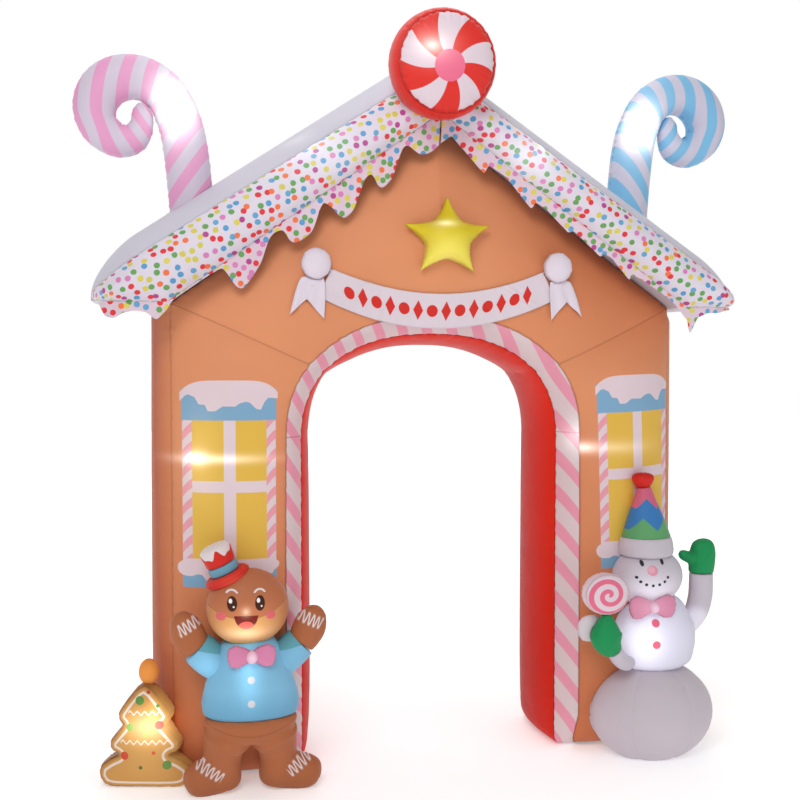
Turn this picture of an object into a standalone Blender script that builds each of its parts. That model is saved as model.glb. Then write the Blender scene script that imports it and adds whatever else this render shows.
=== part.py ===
"""Inflatable arch: a gingerbread-house front with a gingerbread man, a snowman and a tree.

Metres, +Z up, the front towards -Y. Every piece hangs under one empty. Inside that empty x = 0 is
the middle of the doorway, y = 0 the plane of the house's front corner seams and z = 0 the floor.
The empty's own place puts the origin on the floor under the middle of the whole arch.
"""

from math import cos, pi, radians, sin, sqrt

import bmesh
import bpy
import numpy as np
from mathutils import Vector
from mathutils.bvhtree import BVHTree

# Driving dimensions of the house.
DOOR_HALF = 0.487        # half the doorway's width, at the striped band's inner seam
DOOR_SPRING = 1.200      # height where the doorway's sides start to bend over
DOOR_TOP = 1.588
DOOR_POWER = 2.3         # 2 is an ellipse, more is squarer
WALL_HALF = 0.945        # half the width over the outer corner seams
EAVE_Z = 1.694           # height of the outer corners under the roof
APEX_Z = 2.366           # height of the gable's top seam at x = 0
CREASE_Z = 1.447         # height where the seam between leg and gable meets the doorway
WALL_DEPTH = 0.380       # front seams to back seams
BAND_WIDTH = 0.066       # striped band round the doorway, seen from the front
BAND_LEAD = 0.086        # how far its outer seam stands ahead of its inner one

# Roof slabs.
ROOF_HALF = 1.220        # apex to the middle of the swollen eave end
ROOF_FRONT = -0.130      # y of the slab's front seams
ROOF_BACK = 0.460        # y of the slab's back seams
ROOF_TOP_Z = 2.541       # height of the slab's top seams at x = 0
ROOF_TOP_FALL = 0.660    # fall of the top seams for each metre along x
ROOF_CROWN = 0.105       # rise of the top panel over its seams
ROOF_PUFF = 0.058        # swell of the front and back panels
SOFFIT_Z = 1.688         # height of the slab's underside past the wall

GAP = 0.0004             # between pieces that touch
SKIN_GAP = 0.0006        # between a sewn-on panel and the wall
SEAM_INSET = 0.0008      # from a panel's edge to the seam that it meets
DRAPE = 0.0024           # between draped cloth and what it lies over
CLOTH = 0.0020           # thickness of a single sheet
FRAME_SHIFT = (0.016, -0.085, 0.0)

# Colours, linear.
BISCUIT = (0.63, 0.26, 0.14)
DARK_BISCUIT = (0.45, 0.17, 0.08)
RED = (0.60, 0.045, 0.028)
WHITE = (0.62, 0.58, 0.62)
PINK = (0.74, 0.30, 0.45)
BLUE = (0.25, 0.50, 0.76)
YELLOW = (0.78, 0.62, 0.06)
GREEN = (0.03, 0.24, 0.07)
TEAL = (0.15, 0.38, 0.48)
ORANGE = (0.62, 0.25, 0.05)
GOLD = (0.55, 0.30, 0.09)

PARTS = "inflatable_arch"
CUTTERS = "cutters"


# ---------------------------------------------------------------- scene and materials

def clear_scene():
    for old in list(bpy.data.objects):
        bpy.data.objects.remove(old, do_unlink=True)


def collection(name):
    found = bpy.data.collections.get(name)
    if found is None:
        found = bpy.data.collections.new(name)
        bpy.context.scene.collection.children.link(found)
    return found


def cloth(name, colour, roughness=0.55):
    """A plain coated polyester in one colour."""
    made = bpy.data.materials.get(name)
    if made is None:
        made = bpy.data.materials.new(name)
        made.use_nodes = True
        shader = made.node_tree.nodes["Principled BSDF"]
        shader.inputs["Base Color"].default_value = (*colour, 1.0)
        shader.inputs["Roughness"].default_value = roughness
        shader.inputs["Metallic"].default_value = 0.0
    return made


def add_part(name, mesh, material, smooth=True):
    """Put a mesh into the arch as a named piece under the common empty."""
    piece = bpy.data.objects.new(name, mesh)
    collection(PARTS).objects.link(piece)
    piece.parent = bpy.data.objects["arch_origin"]
    if material is not None:
        mesh.materials.append(material)
    if smooth:
        mesh.shade_smooth()
        mesh.set_sharp_from_angle(angle=radians(50))
    return piece


def add_cutter(name, mesh):
    """A guide body for a Boolean: wire only, and never rendered."""
    guide = bpy.data.objects.new(name, mesh)
    collection(CUTTERS).objects.link(guide)
    guide.parent = bpy.data.objects["arch_origin"]
    guide.hide_render = True
    guide.display_type = "WIRE"
    return guide


def turn_outward(mesh):
    """Make all faces of a closed mesh point out."""
    work = bmesh.new()
    work.from_mesh(mesh)
    bmesh.ops.recalc_face_normals(work, faces=work.faces)
    work.to_mesh(mesh)
    work.free()


# ---------------------------------------------------------------- shapes

def grid_faces(rows, columns, closed):
    """Triangle pairs between neighbouring rows of points, all split the same way, so that a skin
    and what it lies on share their folds. Closed also joins the last column to the first."""
    last = columns if closed else columns - 1
    faces = []
    for row in range(rows - 1):
        for column in range(last):
            after = (column + 1) % columns
            a, b = row * columns + column, row * columns + after
            faces += [(a, b, b + columns), (a, b + columns, a + columns)]
    return faces


def loft(name, rings, material, cap_start=True, cap_end=True):
    """A closed skin through rings of equal point count, with flat caps."""
    rings = np.asarray(rings, dtype=float)
    rows, columns = rings.shape[:2]
    faces = grid_faces(rows, columns, closed=True)
    if cap_start:
        faces.append(tuple(reversed(range(columns))))
    if cap_end:
        faces.append(tuple(range((rows - 1) * columns, rows * columns)))
    mesh = bpy.data.meshes.new(name)
    mesh.from_pydata(rings.reshape(-1, 3).tolist(), [], faces)
    turn_outward(mesh)
    return add_part(name, mesh, material)


def tube_rings(rows, sides):
    """Rings round a path. Each row is x, y, z, half width and half depth (the half nearest Y)."""
    rows = np.asarray(rows, dtype=float)
    centres = rows[:, :3]
    along = np.gradient(centres, axis=0)
    along /= np.linalg.norm(along, axis=1, keepdims=True)
    depth_axis = np.array((0.0, 1.0, 0.0)) - along * along[:, 1:2]
    depth_axis /= np.linalg.norm(depth_axis, axis=1, keepdims=True)
    width_axis = np.cross(along, depth_axis)
    turn = np.arange(sides) * 2 * pi / sides
    across = np.cos(turn)[None, :, None] * width_axis[:, None, :] * rows[:, 3][:, None, None]
    deep = np.sin(turn)[None, :, None] * depth_axis[:, None, :] * rows[:, 4][:, None, None]
    return centres[:, None, :] + across + deep


def limb(name, rows, material, sides=10):
    """A filled tube of changing width: sleeve, arm, mitten or leg."""
    return loft(name, tube_rings(rows, sides), material)


def ball(name, centre, radii, material, segments=18, rings=10):
    """A filled round, wider or flatter along each axis."""
    mesh = bpy.data.meshes.new(name)
    work = bmesh.new()
    bmesh.ops.create_uvsphere(work, u_segments=segments, v_segments=rings, radius=1.0)
    bmesh.ops.scale(work, vec=radii, verts=work.verts)
    bmesh.ops.translate(work, vec=centre, verts=work.verts)
    work.to_mesh(mesh)
    work.free()
    return add_part(name, mesh, material)


def turned(name, profile, material, steps=20):
    """A turned piece about its own Z. The profile's rows are radius and height, top to bottom."""
    mesh = bpy.data.meshes.new(name)
    points = [(radius, 0.0, height) for radius, height in profile]
    mesh.from_pydata(points, [(i, i + 1) for i in range(len(points) - 1)], [])
    piece = add_part(name, mesh, material, smooth=False)
    screw = piece.modifiers.new("turn", "SCREW")
    screw.angle = 2 * pi
    screw.steps = steps
    screw.render_steps = steps
    screw.use_merge_vertices = True
    screw.merge_threshold = 0.0001
    screw.use_smooth_shade = True
    return piece


def edge_distance(points, outline):
    """Distance of each point from a closed outline."""
    start = np.asarray(outline, dtype=float)
    side = np.roll(start, -1, axis=0) - start
    offset = points[:, None, :] - start[None, :, :]
    share = np.clip((offset * side).sum(2) / (side * side).sum(1), 0.0, 1.0)
    return np.linalg.norm(offset - share[..., None] * side, axis=2).min(axis=1)


def pillow_rings(outline, half_depth, centre, rings, gusset):
    """Front-to-back rings of a cushion on a star-like outline; its rim wall is gusset deep."""
    outline = np.asarray(outline, dtype=float)
    shares = np.sin(np.linspace(0.10, 1.0, rings) * pi / 2)
    fullest = edge_distance(np.asarray([centre], dtype=float), outline)[0]
    front = []
    for share in shares:
        flat = centre + (outline - centre) * share
        depth = np.clip(edge_distance(flat, outline) / fullest, 0.0, 1.0)
        rise = half_depth * np.sqrt(1.0 - (1.0 - depth) ** 2)
        front.append(np.column_stack((flat[:, 0], -gusset / 2 - rise, flat[:, 1])))
    back = [ring * (1.0, -1.0, 1.0) for ring in reversed(front)]
    return front + (back if gusset > 0 else back[1:])


def pillow(name, outline, half_depth, material, centre=(0.0, 0.0), rings=4, gusset=0.0):
    """Two cloth faces sewn round an outline in X and Z, and filled."""
    return loft(name, pillow_rings(outline, half_depth, np.asarray(centre), rings, gusset), material)


# ---------------------------------------------------------------- fitting pieces together

def finished_mesh(piece):
    """The piece's mesh with its modifiers, in the common empty's own axes."""
    bpy.context.view_layer.update()
    graph = bpy.context.evaluated_depsgraph_get()
    mesh = bpy.data.meshes.new_from_object(piece.evaluated_get(graph))
    home = bpy.data.objects["arch_origin"].matrix_world.inverted() @ piece.matrix_world
    mesh.transform(home)
    return mesh


def swollen(piece, gap=GAP):
    """A guide body: the finished piece grown outward by the gap."""
    mesh = finished_mesh(piece)
    work = bmesh.new()
    work.from_mesh(mesh)
    bmesh.ops.remove_doubles(work, verts=work.verts, dist=0.00001)
    work.normal_update()
    for vertex in work.verts:
        vertex.co += vertex.normal * gap * vertex.calc_shell_factor()
    work.to_mesh(mesh)
    work.free()
    return add_cutter(piece.name + "_room", mesh)


def seat(piece, *carriers):
    """Press a piece against its carriers: what would overlap them is taken off, less the gap."""
    for carrier in carriers:
        cut = piece.modifiers.new("seat_" + carrier.name, "BOOLEAN")
        cut.operation = "DIFFERENCE"
        cut.solver = "EXACT"
        cut.object = swollen(carrier)
    return piece


def fuse(piece, *others):
    """Make one filled body of several: the others become guide bodies of a union."""
    for other in others:
        collection(PARTS).objects.unlink(other)
        collection(CUTTERS).objects.link(other)
        other.hide_render = True
        other.display_type = "WIRE"
        join = piece.modifiers.new("join_" + other.name, "BOOLEAN")
        join.operation = "UNION"
        join.solver = "EXACT"
        join.object = other
    return piece


def stand_flat(piece):
    """Cut the piece level at the floor and close it there."""
    work = bmesh.new()
    work.from_mesh(piece.data)
    everything = list(work.verts) + list(work.edges) + list(work.faces)
    cut = bmesh.ops.bisect_plane(work, geom=everything, dist=0.00001, plane_co=(0, 0, 0),
                                 plane_no=(0, 0, -1), clear_outer=True)
    rim = [item for item in cut["geom_cut"] if isinstance(item, bmesh.types.BMEdge)]
    bmesh.ops.contextual_create(work, geom=rim)
    for vertex in work.verts:
        if abs(vertex.co.z) < 0.00002:
            vertex.co.z = 0.0
    bmesh.ops.recalc_face_normals(work, faces=work.faces)
    work.to_mesh(piece.data)
    work.free()
    return piece


def surface_probe(*pieces):
    """A function that gives the front surface's y at x and z, or None where nothing lies."""
    trees = []
    for piece in pieces:
        work = bmesh.new()
        work.from_mesh(finished_mesh(piece))
        trees.append(BVHTree.FromBMesh(work))
        work.free()

    def front(x, z):
        hits = [tree.ray_cast(Vector((x, -3.0, z)), Vector((0, 1, 0)))[0] for tree in trees]
        found = [hit.y for hit in hits if hit is not None]
        return min(found) if found else None

    return front


# ---------------------------------------------------------------- house

LEG_ROWS = (  # height at the doorway, drawn-in foot, fullness of the panels
    (0.000, 0.044, 0.00),
    (0.004, 0.032, 0.10),
    (0.020, 0.012, 0.36),
    (0.055, 0.000, 0.66),
    (0.120, 0.000, 0.84),
    (0.240, 0.000, 0.96),
    (0.420, 0.000, 1.00),
    (0.640, 0.000, 1.00),
    (0.860, 0.000, 1.00),
    (1.060, 0.000, 1.00),
    (1.220, 0.000, 0.95),
    (1.320, 0.000, 0.84),
    (1.398, 0.000, 0.60),
    (CREASE_Z, 0.000, 0.42),
)
GABLE_ROWS = (  # share of the way from the crease to the apex, fullness of the panels
    (0.07, 0.60),
    (0.18, 0.80),
    (0.33, 0.84),
    (0.50, 0.80),
    (0.67, 0.76),
    (0.84, 0.74),
    (1.00, 0.74),
)
SWELL_SHARE = 0.160      # swell of a front or back panel as a share of its width
SIDE_SWELL = 0.072
LINING_SWELL = 0.050
BAND_SWELL = 0.010
SEGMENTS = {"band": 2, "front": 6, "side": 5, "back": 5, "lining": 4}


def door_half_at(height):
    """Half the doorway's width at a height."""
    if height <= DOOR_SPRING:
        return DOOR_HALF
    rise = (height - DOOR_SPRING) / (DOOR_TOP - DOOR_SPRING)
    return DOOR_HALF * (1.0 - rise ** DOOR_POWER) ** (1.0 / DOOR_POWER)


def door_height_at(half):
    """The doorway arch's height at a distance from the middle."""
    share = min(half / DOOR_HALF, 1.0)
    return DOOR_SPRING + (DOOR_TOP - DOOR_SPRING) * (1.0 - share ** DOOR_POWER) ** (1.0 / DOOR_POWER)


def swell_panel(start, end, swell, steps):
    """Points from start up to just before end, bulging to the right of the way they run."""
    start, end = np.asarray(start), np.asarray(end)
    share = np.arange(steps) / steps
    run = end - start
    normal = np.array((run[1], -run[0])) / np.linalg.norm(run)
    lift = swell * (4.0 * share * (1.0 - share)) ** 0.85
    return start + share[:, None] * run + lift[:, None] * normal


def house_section(inner, outer, inset, fullness, side_swell, lead=BAND_LEAD):
    """One ring round the house's wall, from the doorway (inner) to its outline (outer)."""
    inner, outer = np.asarray(inner), np.asarray(outer)
    width = np.linalg.norm(outer - inner)
    across = (outer - inner) / width
    swell = SWELL_SHARE * (width - BAND_WIDTH) * fullness
    near, far = inset, width - inset
    front, back = inset, WALL_DEPTH - inset
    corners = ((near, front), (near + BAND_WIDTH, front - lead), (far, front), (far, back),
               (near, back))
    swells = (BAND_SWELL * fullness, swell, side_swell, swell, LINING_SWELL * fullness)
    panels = [swell_panel(corners[i], corners[(i + 1) % 5], swells[i], steps)
              for i, steps in enumerate(SEGMENTS.values())]
    flat = np.concatenate(panels)
    return np.column_stack((inner[0] + across[0] * flat[:, 0], flat[:, 1],
                            inner[1] + across[1] * flat[:, 0]))


def house_rings():
    """Rings of the right half, from the foot up the leg and along the gable to x = 0."""
    rings = []
    for height, inset, fullness in LEG_ROWS:
        lift = (EAVE_Z - CREASE_Z) * (height / CREASE_Z) ** 2
        inner = (door_half_at(height), height)
        outer = (WALL_HALF, height + lift)
        side_fullness = 0.0 if height == CREASE_Z else max(fullness, min(height, 1.0))
        lead = BAND_LEAD * min(1.0, 0.10 + 6.0 * height)
        rings.append(house_section(inner, outer, inset, fullness, SIDE_SWELL * side_fullness, lead))
    for share, fullness in GABLE_ROWS:
        half = door_half_at(CREASE_Z) * (1.0 - share)
        inner = (half, door_height_at(half))
        outer = (WALL_HALF * (1.0 - share), EAVE_Z + (APEX_Z - EAVE_Z) * share)
        rings.append(house_section(inner, outer, 0.0, fullness, 0.0))
    rings[-1][:, 0] = 0.0
    return np.array(rings)


def mirror_half(piece):
    mirror = piece.modifiers.new("other_side", "MIRROR")
    mirror.use_axis = (True, False, False)
    mirror.use_clip = True
    mirror.merge_threshold = 0.0001
    return piece


def make_house():
    body = loft("house_body", house_rings(), cloth("biscuit", BISCUIT), cap_end=False)
    return mirror_half(body)


def wall_skin(name, first, last, material):
    """A sewn-on panel over part of the wall: columns first to last of the rings, off the floor."""
    rings = house_rings()[1:]
    columns = [column % rings.shape[1] for column in range(first, last + 1)]
    patch = rings[:, columns]
    for edge, inner in ((0, 1), (-1, -2)):
        run = patch[:, inner] - patch[:, edge]
        patch[:, edge] += run * SEAM_INSET / np.linalg.norm(run, axis=1, keepdims=True)
    mesh = bpy.data.meshes.new(name)
    mesh.from_pydata(patch.reshape(-1, 3).tolist(), [],
                     grid_faces(patch.shape[0], patch.shape[1], closed=False))
    skin = mirror_half(add_part(name, mesh, material))
    lift = skin.modifiers.new("gap", "DISPLACE")
    lift.direction = "NORMAL"
    lift.strength = SKIN_GAP
    lift.mid_level = 0.0
    wall = skin.modifiers.new("cloth", "SOLIDIFY")
    wall.thickness = CLOTH
    wall.offset = 1.0
    return skin


def make_doorway_panels():
    ring_length = sum(SEGMENTS.values())
    lining = wall_skin("door_lining", ring_length - SEGMENTS["lining"], ring_length,
                       cloth("red", RED))
    band = wall_skin("door_band", 0, SEGMENTS["band"], cloth("band_pink", PINK))
    return lining, band


# ---------------------------------------------------------------- roof

ROOF_STATIONS = (0.0, 0.12, 0.26, 0.42, 0.58, 0.74, 0.88, 0.98, 1.06, 1.11, 1.15, 1.18, 1.205,
                 ROOF_HALF)
ROOF_SEGMENTS = {"under": 2, "back": 3, "top": 6, "front": 4}
EAVE_ROUNDING = 0.160


def underside_at(x):
    """Height of the roof's underside: down the gable, then level past the wall."""
    fall = (APEX_Z - EAVE_Z) / WALL_HALF
    return max(APEX_Z - fall * x, SOFFIT_Z) + GAP


def eave_share(x):
    """1 along the slab, falling to almost 0 at the tip of its rounded end."""
    into_end = max(0.0, x - (ROOF_HALF - EAVE_ROUNDING)) / EAVE_ROUNDING
    return sqrt(max(1.0 - into_end ** 2, 0.02))


def slab_front_at(x):
    """The y of the slab's front seams, which draw in round the end."""
    centre = (ROOF_BACK + ROOF_FRONT) / 2
    return centre - (centre - ROOF_FRONT) * eave_share(x) ** 0.8


def slab_low_at(x):
    """Height of the slab's lower seams, which rise a little at the end."""
    low, high = underside_at(x), ROOF_TOP_Z - ROOF_TOP_FALL * x
    return low + (high - low) / 2 * (1.0 - eave_share(x) ** 0.5)


def roof_section(x):
    """One upright ring of a slab at a distance x from the apex."""
    left = eave_share(x)
    low, high = slab_low_at(x), ROOF_TOP_Z - ROOF_TOP_FALL * x
    high -= (high - underside_at(x)) / 2 * (1.0 - left ** 0.7)
    front = slab_front_at(x)
    back = ROOF_BACK + ROOF_FRONT - front
    corners = ((front, low), (back, low), (back, high), (front, high))
    swells = (0.0, ROOF_PUFF * left, ROOF_CROWN * left, ROOF_PUFF * left)
    panels = [swell_panel(corners[i], corners[(i + 1) % 4], swells[i], steps)
              for i, steps in enumerate(ROOF_SEGMENTS.values())]
    flat = np.concatenate(panels)
    return np.column_stack((np.full(len(flat), x), flat[:, 0], flat[:, 1]))


def make_roof_slab(name, side):
    rings = np.array([roof_section(x) for x in ROOF_STATIONS])
    rings[0, :, 0] = GAP / 2
    rings[:, :, 0] *= side
    return loft(name, rings, cloth("icing", WHITE))


LEFT_DRIPS = (  # distance from the apex, half width, length below the hem
    (0.069, 0.060, 0.075),
    (0.205, 0.030, 0.098),
    (0.341, 0.048, 0.110),
    (0.521, 0.048, 0.080),
    (0.698, 0.062, 0.112),
    (0.993, 0.040, 0.055),
    (1.120, 0.060, 0.034),
)
RIGHT_DRIPS = (
    (0.169, 0.052, 0.042),
    (0.344, 0.045, 0.034),
    (0.500, 0.040, 0.022),
    (0.620, 0.036, 0.028),
    (0.745, 0.040, 0.032),
    (0.983, 0.034, 0.070),
    (1.100, 0.060, 0.022),
)
HEM_DROP = 0.020         # cloth that shows below the slab between two drips
FLAP_END = 1.180
FLAP_STEPS = 60
FLAP_ROWS = 3


def hem_length(x, drips):
    """Length of the flap below the slab at a distance from the apex: a hem with round tongues."""
    tongues = [length * max(0.0, 1.0 - ((x - centre) / half) ** 2) ** 0.75
               for centre, half, length in drips]
    return HEM_DROP + max(tongues)


def make_flap(name, side, drips, probe):
    """A loose flap hung from the slab's lower front seam, leaning back towards the gable."""
    rows = []
    for x in np.linspace(0.003, FLAP_END, FLAP_STEPS):
        drop = hem_length(x, drips)
        top_z = min(underside_at(x), slab_low_at(x)) - GAP - 0.001
        column = []
        for step in range(FLAP_ROWS):
            z = top_z - drop * step / (FLAP_ROWS - 1)
            lean = slab_front_at(x) + 0.004 + 0.28 * (top_z - z)
            wall = probe(side * x, z)
            if wall is not None:
                lean = min(lean, wall - CLOTH - DRAPE)
            column.append((side * x, lean, z))
        rows.append(column)
    mesh = bpy.data.meshes.new(name)
    mesh.from_pydata([point for column in rows for point in column], [],
                     grid_faces(FLAP_STEPS, FLAP_ROWS, closed=False))
    flap = add_part(name, mesh, cloth("sprinkle_cloth", WHITE))
    wall = flap.modifiers.new("cloth", "SOLIDIFY")
    wall.thickness = CLOTH
    wall.offset = 0.0
    return flap


# ---------------------------------------------------------------- on the roof

SWEET_PLACE = (-0.024, -0.236, 2.508)
SWEET_TILT = 8.0         # degrees that its face looks down
SWEET_RIM = (0.168, 0.186)   # radius at the face seams and at the swollen rim
SWEET_HALF_RIM = 0.062   # half the rim's depth
SWEET_FACE = 0.048       # swell of each face
SWEET_STEPS = 20


def make_sweet(*carriers):
    """A round sweet: a swollen rim between two domed faces, turned about its own axis."""
    seam, widest = SWEET_RIM
    dome = [(seam * cos(a), SWEET_HALF_RIM + SWEET_FACE * sin(a))
            for a in np.radians((90, 62, 36, 14, 0))]
    wall = [(seam + (widest - seam) * cos(a), SWEET_HALF_RIM * sin(a)) for a in np.radians((45, 0))]
    half = dome + wall
    profile = half + [(radius, -height) for radius, height in reversed(half[:-1])]
    profile[0] = (0.0, profile[0][1])
    profile[-1] = (0.0, profile[-1][1])
    sweet = turned("mint_sweet", profile, cloth("sweet_red", RED), SWEET_STEPS)
    sweet.location = SWEET_PLACE
    sweet.rotation_euler = (radians(90 + SWEET_TILT), 0.0, 0.0)
    return seat(sweet, *carriers)


CANE_Y = 0.150
CANE_ROWS = (  # outward and up from the foot of the stick, half width; it leans, then curls over
    (-0.006, -0.090, 0.082),
    (0.000, 0.000, 0.082),
    (0.014, 0.150, 0.082),
    (0.036, 0.262, 0.080),
    (0.084, 0.362, 0.077),
    (0.158, 0.415, 0.078),
    (0.240, 0.417, 0.081),
    (0.304, 0.377, 0.082),
    (0.333, 0.310, 0.078),
    (0.316, 0.240, 0.070),
    (0.256, 0.196, 0.060),
    (0.198, 0.206, 0.052),
    (0.164, 0.250, 0.042),
    (0.160, 0.284, 0.027),
    (0.160, 0.298, 0.010),
)


def smooth_rows(rows, splits):
    """More rows between the given ones, on a curve through them all."""
    rows = np.asarray(rows, dtype=float)
    slopes = np.gradient(rows, axis=0)
    fine = []
    for here, after, leave, arrive in zip(rows, rows[1:], slopes, slopes[1:]):
        for t in np.arange(splits) / splits:
            fine.append((1 + 2 * t) * (1 - t) ** 2 * here + t * (1 - t) ** 2 * leave
                        + t * t * (3 - 2 * t) * after + t * t * (t - 1) * arrive)
    return np.array(fine + [rows[-1]])


def make_cane(name, foot, side, material, *carriers):
    """A filled candy cane: a stick that leans and curls over outward, thinner to its tip."""
    rows = [(foot[0] + side * out, CANE_Y, foot[1] + up, half, half)
            for out, up, half in smooth_rows(CANE_ROWS, 2)]
    return seat(limb(name, rows, material), *carriers)


# ---------------------------------------------------------------- on the gable

STAR_PLACE = (0.014, 1.932)
STAR_RADII = (0.158, 0.078)
STAR_WIDTH_SCALE = 1.04
STAR_DEPTH = 0.070


def star_outline(steps):
    """Five points, with steps points along each side, its flanks drawn in a little."""
    corners = []
    for i in range(10):
        radius = STAR_RADII[i % 2]
        turn = pi / 2 + i * pi / 5
        corners.append((radius * cos(turn) * STAR_WIDTH_SCALE, radius * sin(turn)))
    outline = []
    for i, corner in enumerate(corners):
        after = corners[(i + 1) % 10]
        for step in range(steps):
            share = step / steps
            draw = 1.0 - 0.07 * sin(pi * share)
            outline.append(((corner[0] + (after[0] - corner[0]) * share) * draw,
                            (corner[1] + (after[1] - corner[1]) * share) * draw))
    return outline


def place(piece, x, y, z, turn=0.0, yaw=0.0):
    """Move a finished piece; turn rolls it in the front plane and yaw turns its face."""
    piece.location = (x, y, z)
    piece.rotation_euler = (0.0, radians(turn), radians(yaw))
    return piece


def make_star(house, probe):
    star = pillow("star", star_outline(2), STAR_DEPTH, cloth("star_yellow", YELLOW), rings=4)
    x, z = STAR_PLACE
    place(star, x, probe(x, z) - 0.012, z)
    return seat(star, house)


KNOT_HALF_SPAN = 0.446
KNOT_Z = 1.830
KNOT_RADII = (0.054, 0.034, 0.056)
BANNER_SAG = 0.096       # fall of the banner's middle line below its ends
BANNER_END_Z = 1.764
BANNER_HALF_SPAN = 0.415
BANNER_HALF_WIDTH = (0.055, 0.062)   # at the ends and in the middle
BANNER_STEPS = 23
BANNER_RECEDE = 0.20     # how far it may lean back for each metre that it hangs


def banner_edges(share):
    """The banner's upper and lower edge points at a share from left (-1) to right (1)."""
    x = share * BANNER_HALF_SPAN
    middle = BANNER_END_Z - BANNER_SAG * (1.0 - share * share)
    slope = BANNER_SAG * 2 * share / BANNER_HALF_SPAN
    half = BANNER_HALF_WIDTH[0] + (BANNER_HALF_WIDTH[1] - BANNER_HALF_WIDTH[0]) * (1 - share * share)
    length = sqrt(1.0 + slope * slope)
    lean = (-slope / length * half, half / length)
    return (x + lean[0], middle + lean[1]), (x - lean[0], middle - lean[1])


def draped_y(probe, x, z, reach=0.020):
    """The y where a sheet's middle lies when it is draped at x and z over what is within reach."""
    around = [probe(x + dx, z + dz) for dx in (-reach, 0.0, reach) for dz in (-reach, 0.0, reach)]
    return min(y for y in around if y is not None) - DRAPE - CLOTH / 2


def drape_strip(name, pairs, rows, material, probe):
    """A sheet between two edges, hung over what the probe finds, a little clear of it."""
    points = []
    for upper, lower in pairs:
        for row in range(rows):
            share = row / (rows - 1)
            x = upper[0] + (lower[0] - upper[0]) * share
            z = upper[1] + (lower[1] - upper[1]) * share
            y = draped_y(probe, x, z)
            if row:
                above = points[-1]
                y = min(y, above[1] + BANNER_RECEDE * (above[2] - z))
            points.append((x, y, z))
    mesh = bpy.data.meshes.new(name)
    mesh.from_pydata(points, [], grid_faces(len(pairs), rows, closed=False))
    strip = add_part(name, mesh, material)
    wall = strip.modifiers.new("cloth", "SOLIDIFY")
    wall.thickness = CLOTH
    wall.offset = 0.0
    return strip


TAIL_LENGTH = 0.135
TAIL_HALF = (0.022, 0.058)   # half width at the knot and at the points
TAIL_NOTCH = 0.058


def tail_points(side, probe):
    """A swallow tail hung under a knot: rows of points, the last one notched in its middle."""
    points = []
    rows = 5
    for row in range(rows):
        share = row / (rows - 1)
        half = TAIL_HALF[0] + (TAIL_HALF[1] - TAIL_HALF[0]) * share ** 0.7
        for column in (-1.0, -0.5, 0.0, 0.5, 1.0):
            notch = TAIL_NOTCH * share ** 2 * (1.0 - abs(column))
            x = side * (KNOT_HALF_SPAN + 0.020 * share + 0.010) + column * half
            z = KNOT_Z - 0.046 - TAIL_LENGTH * share + notch
            points.append((x, draped_y(probe, x, z) - CLOTH, z))
    return points


def make_tail(name, side, probe):
    mesh = bpy.data.meshes.new(name)
    mesh.from_pydata(tail_points(side, probe), [], grid_faces(5, 5, closed=False))
    tail = add_part(name, mesh, cloth("banner_white", WHITE))
    wall = tail.modifiers.new("cloth", "SOLIDIFY")
    wall.thickness = CLOTH
    wall.offset = 0.0
    return tail


def make_banner(house, probe):
    white = cloth("banner_white", WHITE)
    knots = {}
    for word, side in (("left", -1), ("right", 1)):
        x = side * KNOT_HALF_SPAN
        y = probe(x, KNOT_Z) - KNOT_RADII[1] * 0.75
        knot = ball("banner_knot_" + word, (x, y, KNOT_Z), KNOT_RADII, white, 14, 8)
        knots[word] = seat(knot, house)
    pairs = [banner_edges(share) for share in np.linspace(-1, 1, BANNER_STEPS)]
    banner = drape_strip("banner", pairs, 3, white, probe)
    seat(banner, knots["left"], knots["right"])
    for word, side in (("left", -1), ("right", 1)):
        seat(make_tail("banner_tail_" + word, side, probe), knots[word], banner)


# ---------------------------------------------------------------- shared by both figures

BOW_OUTLINE = (  # x and z of a bow's right half, from the top of its waist round to the bottom
    (0.000, 0.018),
    (0.024, 0.032),
    (0.054, 0.041),
    (0.078, 0.030),
    (0.083, 0.008),
    (0.080, -0.014),
    (0.070, -0.034),
    (0.046, -0.038),
    (0.022, -0.026),
    (0.000, -0.016),
)
BOW_DEPTH = 0.018
BOW_KNOT = (0.019, 0.020, 0.021)


def make_bow(prefix, x, y, z, *carriers):
    """A filled bow tie and the band round its middle."""
    left = [(-px, pz) for px, pz in BOW_OUTLINE[-2:0:-1]]
    bow = pillow(prefix + "_bow", list(BOW_OUTLINE) + left, BOW_DEPTH, cloth("bow_pink", PINK), rings=3)
    place(bow, x, y, z)
    seat(bow, *carriers)
    knot = ball(prefix + "_bow_knot", (x, y - 0.014, z), BOW_KNOT, cloth("bow_knot", PINK), 10, 6)
    seat(knot, bow, carriers[0])


def upright(name, x, y, rows, material, sides=14):
    """A filled body stacked along Z: rows are height, half width, half depth, x and y offset."""
    return limb(name, [(x + dx, y + dy, z, half, deep) for z, half, deep, dx, dy in rows],
                material, sides)


# ---------------------------------------------------------------- gingerbread man

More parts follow.
